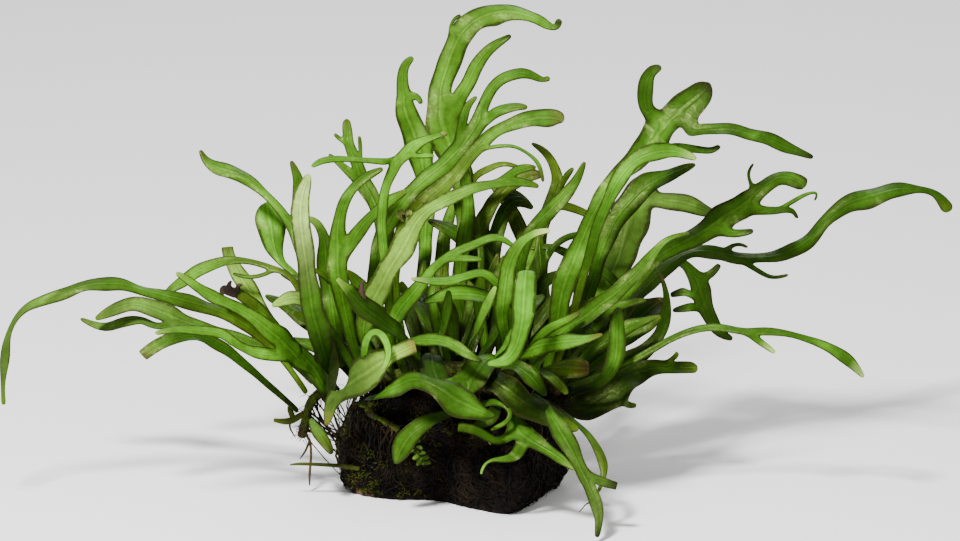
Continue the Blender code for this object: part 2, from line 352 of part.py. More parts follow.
        (-15, 42.4, -15, 1.2), (-17, 49, -30, 2.2), (-19, 50, -48, 3.2), (-21, 44, -66, 3.0),
        (-23, 35, -80, 1.8), (-24, 30, -86, 0.7)], (
            Leaf([(-19.5, 48, -54, 1.7), (-29, 42, -66, 2.0), (-33, 36, -76, 0.8)]),)),
    "frond_back_middle": Leaf([
        (0, 43.2, -15, 1.2), (1, 55, -32, 2.2), (2, 64, -52, 3.2), (3, 63, -72, 3.0),
        (4, 56, -88, 1.8), (4.5, 51, -94, 0.7)], (
            Leaf([(2.4, 64, -58, 1.6), (12, 60, -68, 2.0), (17, 55, -80, 0.8)]),)),
    "frond_back_right": Leaf([
        (22, 41, -14, 1.2), (30, 53, -30, 2.4), (37, 59, -50, 3.2), (43, 57, -68, 2.8),
        (47, 50, -82, 1.6), (48, 46, -88, 0.7)]),
    "frond_back_right_low": Leaf([
        (28.5, 38, -13, 1.2), (38, 42, -30, 2.2), (46, 42, -46, 2.8), (53, 37, -60, 2.0),
        (57, 32, -68, 0.7)]),
}

LEAF_COLOURS = {
    "pale": (0.33, 0.45, 0.17),
    "bright": (0.28, 0.47, 0.02),
    "middle": (0.12, 0.27, 0.02),
    "dark": (0.03, 0.09, 0.01),
}
WOOD_COLOUR = (0.05, 0.03, 0.018)
RHIZOME_COLOUR = (0.10, 0.11, 0.02)
LEAF_ROUGHNESS = 0.4
WOOD_ROUGHNESS = 0.8
RHIZOME_ROUGHNESS = 0.6


# ------------------------------------------------------------------------ the tools

def board(across, up, toward):
    """A place on the leaning board, mm, as a point in metres."""
    return (across * ACROSS + up * UP + toward * TOWARD) * MM


def blend(a, b, share):
    """The row of numbers that lies a share of the way from a to b."""
    return tuple(x + (y - x) * share for x, y in zip(a, b))


def smooth(points, steps=SPAN_STEPS, closed=False):
    """A dense row along the smooth (Catmull-Rom) curve through the points."""
    last = len(points) - 1
    dense = []
    for i in range(len(points) if closed else last):
        if closed:
            p0, p1, p2, p3 = (points[(i + k) % len(points)] for k in (-1, 0, 1, 2))
        else:
            p0, p1, p2, p3 = (points[min(max(i + k, 0), last)] for k in (-1, 0, 1, 2))
        for step in range(steps):
            t = step / steps
            dense.append(tuple(
                0.5 * (2 * b + (c - a) * t + (2 * a - 5 * b + 4 * c - d) * t * t
                       + (3 * b - a - 3 * c + d) * t ** 3)
                for a, b, c, d in zip(p0, p1, p2, p3)))
    if not closed:
        dense.append(tuple(points[-1]))
    return dense


class Axis:
    """The smooth axis of a strap, read at any distance from its base (mm)."""

    def __init__(self, points):
        """Measures the curve through (across, up, toward, half-width) points."""
        self.rows = smooth(points)
        self.places = [Vector(row[:3]) for row in self.rows]
        self.distances = [0.0]
        for a, b in zip(self.places, self.places[1:]):
            self.distances.append(self.distances[-1] + (b - a).length)
        self.length = self.distances[-1]
        self.marks = self.distances[::SPAN_STEPS]

    def row(self, distance):
        """across, up, toward and half-width at a distance."""
        for i in range(len(self.distances) - 1):
            if distance <= self.distances[i + 1]:
                span = self.distances[i + 1] - self.distances[i]
                return blend(self.rows[i], self.rows[i + 1], (distance - self.distances[i]) / span)
        return self.rows[-1]

    def tangent(self, distance):
        """The direction of growth at a distance, in the part's frame."""
        ahead = board(*self.row(min(distance + 1, self.length))[:3])
        behind = board(*self.row(max(distance - 1, 0))[:3])
        return (ahead - behind).normalized()

    def nearest(self, place):
        """The distance along the axis of its point nearest to a place."""
        gaps = [(p - place).length for p in self.places]
        return self.distances[gaps.index(min(gaps))]


def new_object(name, vertices, faces, colour, roughness):
    """A smooth-shaded object with its own material."""
    mesh = bpy.data.meshes.new(name)
    mesh.from_pydata(vertices, [], faces)
    mesh.validate()
    mesh.shade_smooth()
    material = bpy.data.materials.new(name)
    material.use_nodes = True
    shader = material.node_tree.nodes["Principled BSDF"]
    shader.inputs["Base Color"].default_value = (*colour, 1)
    shader.inputs["Roughness"].default_value = roughness
    shader.inputs["Metallic"].default_value = 0
    mesh.materials.append(material)
    made = bpy.data.objects.new(name, mesh)
    bpy.context.collection.objects.link(made)
    return made


# ------------------------------------------------------------------------ the straps

class Strap:
    """One leaf as a closed quad mesh: rings of four corners, lobes drawn from the rim.

    A ring's corners go round it as left-front, right-front, right-back, left-back.
    """

    def __init__(self, leaf):
        """Grows the whole leaf."""
        self.vertices = []
        self.faces = []
        axis = Axis(leaf.axis)
        self.grow(axis, leaf.lobes, None, 0.0, FACE)

    def ring(self, axis, distance, face, side_before, before):
        """Adds one ring; returns its corners' numbers, its side direction and its face.

        It turns no further than MOST_TWIST from the side before it, and each of its corners
        lies ahead of the same corner of the ring before it, so that no bend folds over.
        """
        across, up, toward, half_width = axis.row(distance)
        tangent = axis.tangent(distance)
        side = tangent.cross(face)
        if side.length < LEAST_SIDE and side_before is not None:
            side = side_before - tangent * side_before.dot(tangent)
        side.normalize()
        if side_before is not None:
            if side.dot(side_before) < 0:
                side = -side
                face = -face
            carried = (side_before - tangent * side_before.dot(tangent)).normalized()
            twist = carried.angle(side)
            if twist > MOST_TWIST:
                side = carried.slerp(side, MOST_TWIST / twist)
        normal = side.cross(tangent)
        seen = max(math.sqrt(1 - side.dot(TOWARD) ** 2), LEAST_SEEN)
        half_width = max(half_width, LEAST_HALF_WIDTH) / seen
        stalk = min(max(2 - half_width, 0), 1)
        thickness = BLADE_THICKNESS + (STIPE_THICKNESS - BLADE_THICKNESS) * stalk
        centre = board(across, up, toward)
        out = side * half_width * MM
        lift = normal * thickness / 2 * MM
        corners = [centre - out + lift, centre + out + lift, centre + out - lift, centre - out - lift]
        if before is not None:
            for k, old in enumerate(before):
                gain = (corners[k] - self.vertices[old]).dot(tangent)
                corners[k] += tangent * max(LEAST_GAIN * MM - gain, 0)
        start = len(self.vertices)
        self.vertices += corners
        return [start, start + 1, start + 2, start + 3], side, face

    def forks(self, axis, lobes):
        """For each lobe: the two distances of its root on the parent's rim, and its own axis."""
        found = []
        for lobe in lobes:
            root = axis.row(axis.nearest(Vector(lobe.axis[0][:3])))
            own = Axis([(*root[:3], lobe.axis[0][3]), *lobe.axis[1:]])
            for place, row, at in zip(own.places, own.rows, own.distances):
                near = axis.nearest(place)
                away = (place - Vector(axis.row(near)[:3])).length
                if away >= axis.row(near)[3] + row[3] + CLEAR_OF_PARENT:
                    break
            cosine = own.tangent(at).dot(axis.tangent(near))
            sine = max(math.sqrt(1 - cosine ** 2), LEAST_FORK_SINE)
            middle = near - (row[3] + CLEAR_OF_PARENT) * cosine / sine
            reach = max(row[3] / sine, LEAST_STEP / 2)
            to_lobe = board(*row[:3]) - board(*axis.row(near)[:3])
            found.append([middle - reach, middle + reach, own, at, lobe.lobes, to_lobe])
        found.sort(key=lambda fork: fork[0])
        for before, fork in zip(found, found[1:]):
            if fork[0] < before[1] + LEAST_STEP:
                shift = before[1] + (LEAST_STEP if fork[0] > before[1] else 0) - fork[0]
                fork[0] += shift
                fork[1] += shift
        return found

    def grow(self, axis, lobes, root_ring, start, face):
        """Rings from a distance to the tip, joined to a root ring or closed at the base."""
        forks = self.forks(axis, lobes)
        fixed = [distance for fork in forks for distance in fork[:2]]
        plain = [mark for mark in axis.marks if mark > start + LEAST_STEP
                 and all(mark < low - LEAST_STEP or mark > high + LEAST_STEP
                         for low, high, *_ in forks)]
        if not plain or plain[-1] < axis.length:
            plain.append(axis.length)
        distances = sorted(set([start, *plain, *fixed]))
        side = None
        if root_ring is not None:
            side = self.vertices[root_ring[1]] - self.vertices[root_ring[0]]
            if axis.tangent(start).cross(face).dot(side) < 0:
                side = None
        before = root_ring
        rings = {}
        for distance in distances:
            ring, side, face = self.ring(axis, distance, face, side, before)
            rings[distance] = (ring, side, face)
            if before is None:
                self.faces.append((ring[3], ring[2], ring[1], ring[0]))
            else:
                self.join(before, ring, self.open_side(forks, rings, distance))
            before = ring
        self.faces.append((before[0], before[1], before[2], before[3]))
        for low, high, own, at, own_lobes, to_lobe in forks:
            first, side_at, face_at = rings[low]
            second = rings[high][0]
            if to_lobe.dot(side_at) > 0:
                root = [second[1], first[1], first[2], second[2]]
            else:
                root = [first[0], second[0], second[3], first[3]]
            self.grow(own, own_lobes, root, at, face_at)

    def open_side(self, forks, rings, distance):
        """'left' or 'right' where the stretch that ends here is a lobe's root, else None."""
        for low, high, _, _, _, to_lobe in forks:
            if high == distance:
                return "right" if to_lobe.dot(rings[low][1]) > 0 else "left"
        return None

    def join(self, a, b, opening):
        """The four sides between two rings, less the one that a lobe grows from.

        Front and back are cut along the same diagonal, so that they stay apart in a twist.
        """
        self.faces += [(a[0], a[1], b[1]), (a[0], b[1], b[0])]
        self.faces += [(a[2], a[3], b[2]), (a[3], b[3], b[2])]
        if opening != "right":
            self.faces.append((a[1], a[2], b[2], b[1]))
        if opening != "left":
            self.faces.append((a[3], a[0], b[0], b[3]))


def leaf_colour(name):
    """The plain colour of a frond, from its name."""
    for word in ("pale", "bright", "dark"):
        if word in name:
            return LEAF_COLOURS[word]
    return LEAF_COLOURS["middle"]


def make_frond(name, leaf):
    """One frond with its lobes."""
    strap = Strap(leaf)
    new_object(name, strap.vertices, strap.faces, leaf_colour(name), LEAF_ROUGHNESS)


# ------------------------------------------------------------- the wood and its stems

def make_wood():
    """The lump: a stack of outlines with a flat underside."""
    outline = smooth(WOOD_OUTLINE, WOOD_POINTS_AROUND // len(WOOD_OUTLINE), closed=True)
    count = len(outline)
    vertices = []
    for height, grow_x, grow_y, shift_x, shift_y in WOOD_LEVELS:
        for i, (x, y) in enumerate(outline):
            knot = 1 + (WOOD_KNOT * math.sin(WOOD_KNOTS_APART * i + height) if height > 0 else 0)
            place = Vector((x * grow_x * knot + shift_x, y * grow_y * knot + shift_y, height))
            vertices.append(place * MM)
    faces = [tuple(reversed(range(count)))]
    for level in range(len(WOOD_LEVELS) - 1):
        for i in range(count):
            j = (i + 1) % count
            low = level * count
            faces.append((low + i, low + j, low + count + j, low + count + i))
    top = (len(WOOD_LEVELS) - 1) * count
    faces.append(tuple(range(top, top + count)))
    return new_object("driftwood", vertices, faces, WOOD_COLOUR, WOOD_ROUGHNESS)


def make_rhizome(name, radius, points):
    """A creeping stem: a round tube with narrowed ends along a smooth axis."""
    rows = smooth(points, 2)
    places = [board(*row) for row in rows]
    vertices = []
    for i, place in enumerate(places):
        ahead = places[min(i + 1, len(places) - 1)]
        behind = places[max(i - 1, 0)]
        tangent = (ahead - behind).normalized()
        side = tangent.cross(FACE).normalized()
        normal = side.cross(tangent)
        end = i in (0, len(places) - 1)
        here = radius * (RHIZOME_END if end else 1.0) * MM
        for k in range(RHIZOME_SIDES):
            turn = 2 * math.pi * k / RHIZOME_SIDES
            vertices.append(place + (side * math.cos(turn) + normal * math.sin(turn)) * here)
    count = RHIZOME_SIDES
    faces = [tuple(range(count))]
    for i in range(len(places) - 1):
        for k in range(count):
            n = (k + 1) % count
            low = i * count
            faces.append((low + n, low + k, low + count + k, low + count + n))
    top = (len(places) - 1) * count
    faces.append(tuple(reversed(range(top, top + count))))
    return new_object(name, vertices, faces, RHIZOME_COLOUR, RHIZOME_ROUGHNESS)


def clear_scene():
    """Removes whatever the scene holds."""
    for old in list(bpy.data.objects):
        bpy.data.objects.remove(old, do_unlink=True)


clear_scene()
make_wood()
for rhizome, (radius, points) in RHIZOMES.items():
    make_rhizome(rhizome, radius, points)
for frond, leaf in FRONDS.items():
    make_frond(frond, leaf)
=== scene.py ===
"""The looks of the java fern on driftwood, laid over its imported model.

Frame: metres, +Z up, the origin at the middle of the wood's flat underside, +X along the
plant's long side, -Y towards the front. The fronds are drawn as on a board that leans back
by LEAN: a point is (across, up, toward) in millimetres, and a point on a leaf's axis also
has the half-width of the blade there. Every frond keeps the axis of the node it stands for,
apart from the curls at two tips.
"""
import math
import random
from collections import namedtuple

import bpy
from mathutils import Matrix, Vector, noise
from mathutils.bvhtree import BVHTree


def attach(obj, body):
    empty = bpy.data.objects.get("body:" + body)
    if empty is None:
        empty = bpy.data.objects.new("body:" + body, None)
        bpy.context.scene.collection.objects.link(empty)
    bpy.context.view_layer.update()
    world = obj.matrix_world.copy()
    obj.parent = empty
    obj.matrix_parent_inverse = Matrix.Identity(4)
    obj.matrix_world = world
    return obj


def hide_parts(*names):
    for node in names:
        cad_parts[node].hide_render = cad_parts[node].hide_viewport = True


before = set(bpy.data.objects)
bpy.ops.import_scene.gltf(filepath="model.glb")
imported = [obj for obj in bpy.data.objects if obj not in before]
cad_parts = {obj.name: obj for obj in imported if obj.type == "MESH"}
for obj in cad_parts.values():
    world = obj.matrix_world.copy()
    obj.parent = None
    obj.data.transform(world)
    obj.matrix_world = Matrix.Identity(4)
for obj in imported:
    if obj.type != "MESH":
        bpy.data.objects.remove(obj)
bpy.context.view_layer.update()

MM = 0.001
LEAN = math.radians(15)             # of the board that the fronds are drawn on
ACROSS = Vector((1, 0, 0))
UP = Vector((0, math.sin(LEAN), math.cos(LEAN)))
TOWARD = Vector((0, -math.cos(LEAN), math.sin(LEAN)))
FACE_TILT = math.radians(30)        # blades turn their faces up from the board by this
FACE = math.cos(FACE_TILT) * TOWARD + math.sin(FACE_TILT) * UP

# A blade's surface, mm unless said otherwise.
RING_STEP = 3.6                     # between two rings of points
RING_GAP = 1.3                      # the least distance between two rings
LEAST_GAIN = 0.3                    # each point moves on by this from ring to ring in a bend
MOST_TWIST = math.radians(35)       # from one ring to the next
CLEAR_OF_PARENT = 0.5               # between a lobe's first ring and its parent's rim
LEAST_FORK_SINE = 0.4               # of the angle of a lobe, so that its root stays short
LEAST_SIDE = 0.35                   # below this a ring takes its side direction from the last
LEAST_SEEN = 0.55                   # a blade that turns away is widened by at most 1 / this
LEAST_HALF_WIDTH = 0.42
STALK_HALF_WIDTHS = (0.9, 1.8)      # a stalk up to the first, a flat blade from the second
EDGE_THICKNESS = (0.75, 0.16)       # of a stalk, of a blade
MIDDLE_THICKNESS = (1.0, 0.55)      # the same, at the midrib
SMOOTHING_GROWTH = 1.10             # makes up for what the subdivision draws in
SMOOTHING_LEVELS = 2
RUFFLE = 0.38                       # how far a margin waves, as a share of the half-width
WIDTH_WAVE = 0.20                   # how far the width varies, in the same way
WAVE_STARTS = (1, 8)                # from a base these grow to their full depth
WAVE_PACES = ((3.6, 6.0), (1.7, 2.6))   # for each radian of the slow and the fast waves
SLOW_WAVE_SHARE = 0.65
CUPPING = 0.32                      # how deep the midrib lies, as a share of the half-width
COLOUR_STOPS = (0.12, 0.45, 0.85)   # of the base, the middle and the end, as shares of a frond
TIP_LENGTH = 6.0                    # the stretch that has the tip's colour
TIP_STRENGTH = 0.9                  # how much of the tip's colour it gets
BLUNT_TIP = 1.1                     # a tip at least this wide is round, or cut across
ROUND_TIP_RINGS = (1.0, 0.5, 0.15)  # their distances from a round tip, as shares of its width
CUT_TIP_RING = 0.4                  # the distance of the last ring but one from a cut tip
CUT_ENDS = {"frond_left_cut", "frond_left_pale_tip", "frond_pale_ragged", "frond_bright_drooping",
            "frond_right_brown_ragged", "frond_front_star", "frond_trailing"}


def colour(red, green, blue):
    """A colour given as 0 to 255 on a screen, as the linear values that shaders use."""
    return tuple(((c / 255 + 0.055) / 1.055) ** 2.4 if c > 10 else c / 255 / 12.92
                 for c in (red, green, blue))


LEAF_COLOURS = {
    "cream": colour(190, 206, 104),
    "ash": colour(150, 178, 84),
    "pale": colour(112, 150, 40),
    "lime": colour(72, 132, 0),
    "bright": colour(64, 112, 0),
    "fresh": colour(58, 106, 0),
    "green": colour(46, 86, 0),
    "leaf": colour(36, 72, 0),
    "deep": colour(24, 54, 0),
    "dark": colour(16, 38, 0),
    "black_green": colour(9, 22, 0),
    "olive": colour(62, 84, 4),
    "grey": colour(60, 88, 22),
    "brown": colour(60, 50, 20),
    "rust": colour(84, 62, 26),
    "dusk": colour(24, 20, 10),
}
# The dark rim round a blade: partly the margin's own brownish colour, partly painted shade.
MARGIN_COLOUR = colour(30, 32, 10)
LIGHT_THROUGH_COLOUR = colour(112, 186, 4)   # painted light coming through the blade, in its brighter patches away from the margin
SPOT_COLOUR = colour(70, 62, 28)
LEAF_SHINE = (0.75, 1.0, 0.25)      # what a leaf's shine keeps of white light

# A dark and a light colour of each thing that is not a leaf.
BARK_COLOURS = (colour(8, 5, 4), colour(26, 17, 11))
STEM_COLOURS = (colour(66, 84, 14), colour(48, 38, 18))
MOSS_COLOURS = (colour(34, 38, 5), colour(58, 66, 8))
MAT_COLOURS = (colour(6, 4, 3), colour(22, 15, 9))
LOOSE_MAT_COLOURS = (colour(10, 7, 4), colour(38, 29, 17))
CURTAIN_COLOURS = (colour(7, 5, 3), colour(32, 24, 12))
HAIR_COLOURS = (colour(40, 28, 16), colour(86, 66, 34))
DARK_ROOT_COLOURS = (colour(44, 34, 20), colour(78, 60, 36))
PALE_ROOT_COLOURS = (colour(150, 150, 96), colour(190, 186, 130))
BUD_COLOURS = (colour(84, 94, 34), colour(132, 142, 72))
DEAD_COLOURS = (colour(30, 22, 16), colour(84, 64, 52))
BARE_WOOD_COLOUR = colour(150, 112, 88)
WOOD_MOSS_COLOUR = colour(58, 62, 14)
MOSS_TIP_COLOUR = colour(68, 80, 14)

# How strong a leaf's fine speckle, brown spots and bright patches of painted light coming through the blade
# (thin) are, and its gloss.
LeafSkin = namedtuple("LeafSkin", "speckle spots thin smoothest specular")
LEAF_SKINS = {
    "leaf_pale": LeafSkin(0.14, 0.25, 0.22, 0.42, 0.18),
    "leaf_bright": LeafSkin(0.07, 0.2, 0.30, 0.33, 0.14),
    "leaf_middle": LeafSkin(0.08, 0.35, 0.24, 0.33, 0.21),
    "leaf_dark": LeafSkin(0.09, 0.5, 0.10, 0.34, 0.20),
}
ROUGHNESS_RANGE = 0.2               # from a leaf's smoothest places to its roughest
NOISE_RANGE = (0.3, 0.7)            # most of a noise's values lie between these

# Cells to the metre in the patterns of a leaf's skin.
CLOUD_CELLS = 62
BLOTCH_CELLS = 340
GRAIN_CELLS = 2600
VEIN_CELLS = 330
SPOT_CELLS = 420
SPOTTED_PATCH_CELLS = 60
MARGIN_CELLS = 420
WRINKLE_CELLS = 170
GLOSS_CELLS = 700

CLOUD_SHADE_AND_LIGHT = (0.62, 1.28)          # painted shade and painted light: the brightness of a leaf's cloudy patches
BLOTCH_TONES = (0.84, 1.16)
VEIN_TONE = 1.10
# The midrib is lighter, partly its own paler colour and partly painted highlight.
RIB_TONE_AND_HIGHLIGHT = 1.25
# Painted shade in the grooves on both sides of the midrib.
GROOVE_SHADE = 0.78
MARGIN_SHADE = 0.80                  # painted shade on the blade beside its dark margin
MARGIN_WANDER = 0.10                # of its inner rim, as a share of the half-width
MARGIN_STRENGTH = 0.85
LEAF_RELIEF = 0.30                  # mm; the heights below are multiples of it
WRINKLE_HEIGHT = 2.6
RIB_HEIGHT = 1.2
VEIN_HEIGHT = 0.2

# The same for the stems, the bark, the roots and the moss: cells to the metre, mm, roughness.
STEM_PATCH_CELLS = 150
STEM_SCALE_CELLS = 700
STEM_GLOSS_CELLS = 500
STEM_RELIEF = 0.5
STEM_ROUGHNESS = (0.45, 0.75)
BARK_CELLS = 160
BARK_STRETCH = (1.0, 1.0, 0.35)     # its grain runs upright
BARK_BUMP_CELLS = 900
BARE_EDGE_CELLS = 330
WOOD_MOSS_CELLS = 70
BARK_RELIEF = 1.2
BARK_ROUGHNESS = (0.55, 0.85)
ROOT_PATCH_CELLS = 120
ROOT_SPECK_CELLS = 1500
ROOT_BUMP_CELLS = 2500
ROOT_GLOSS_CELLS = 600
ROOT_ROUGHNESS = (0.6, 0.9)
MOSS_PATCH_CELLS = 110
MOSS_BUMP_CELLS = 3000
MOSS_GLOSS_CELLS = 900
MOSS_ROUGHNESS = (0.6, 0.85)
FINE_RELIEF = 0.2                   # of the roots and the moss

Leaf = namedtuple("Leaf", "axis lobes", defaults=[()])
# The colours at the base, the middle and the end of a frond, and at its tips; the darker base colours are
# partly the stalks' own darker green and partly painted shade deep in the clump.
Look = namedtuple("Look", "slot base middle end tip")

# The young plant's own leaflets, each from the stalk to its tip.
PLANTLET_LEAFLETS = [
    ((-15.4, 16.4, 25.6), (-13.0, 17.2, 28.0)), ((-14.8, 15.2, 26.0), (-12.4, 14.2, 29.0)),
    ((-14.6, 14.2, 26.2), (-17.0, 13.2, 28.4)), ((-13.8, 12.6, 27.0), (-11.2, 12.6, 30.0)),
    ((-13.4, 11.6, 27.4), (-15.8, 10.6, 29.6)), ((-12.8, 10.8, 28.0), (-10.0, 11.2, 30.4)),
    ((-12.4, 10.0, 28.2), (-14.4, 8.4, 30.2)), ((-12.0, 9.4, 28.4), (-9.4, 9.2, 30.0)),
]
PLANTLET_LOOK = Look("leaf_pale", "deep", "leaf", "grey", "grey")

# The leaves deep in the clump, which follow a rule, mm.
INNER_FRONDS = 44
INNER_SPREAD = 38                   # how far their bases reach to each side
INNER_BASE_UP = 42                  # the height of the middle ones' bases
INNER_BASE_TOWARD = (-12, 16)
INNER_FAN = 34                      # how far the tips of the outer ones lean out
INNER_LEAN = (-14, 14)              # how far a tip strays from that
INNER_TIP_TOWARD = (-26, 6)         # how far a tip is in front of its base
INNER_HEIGHTS = (22, 50)            # of the tips over their bases, in the middle
INNER_BOWS = ((-5, 5), (2, 8), (-5, 5))     # how far the middle bows across, up and toward
INNER_HALF_WIDTHS = (1.9, 3.3)
# Their dark greens are partly the leaves' own colour and partly painted shade deep in the clump.
SHADED_INNER_LOOKS = [
    Look("leaf_dark", "black_green", "dark", "deep", "brown"),
    Look("leaf_dark", "dark", "deep", "deep", "olive"),
    Look("leaf_middle", "dark", "deep", "leaf", "olive"),
    Look("leaf_middle", "deep", "leaf", "green", "olive"),
]

# ------------------------------------------------------------------------- the leaves

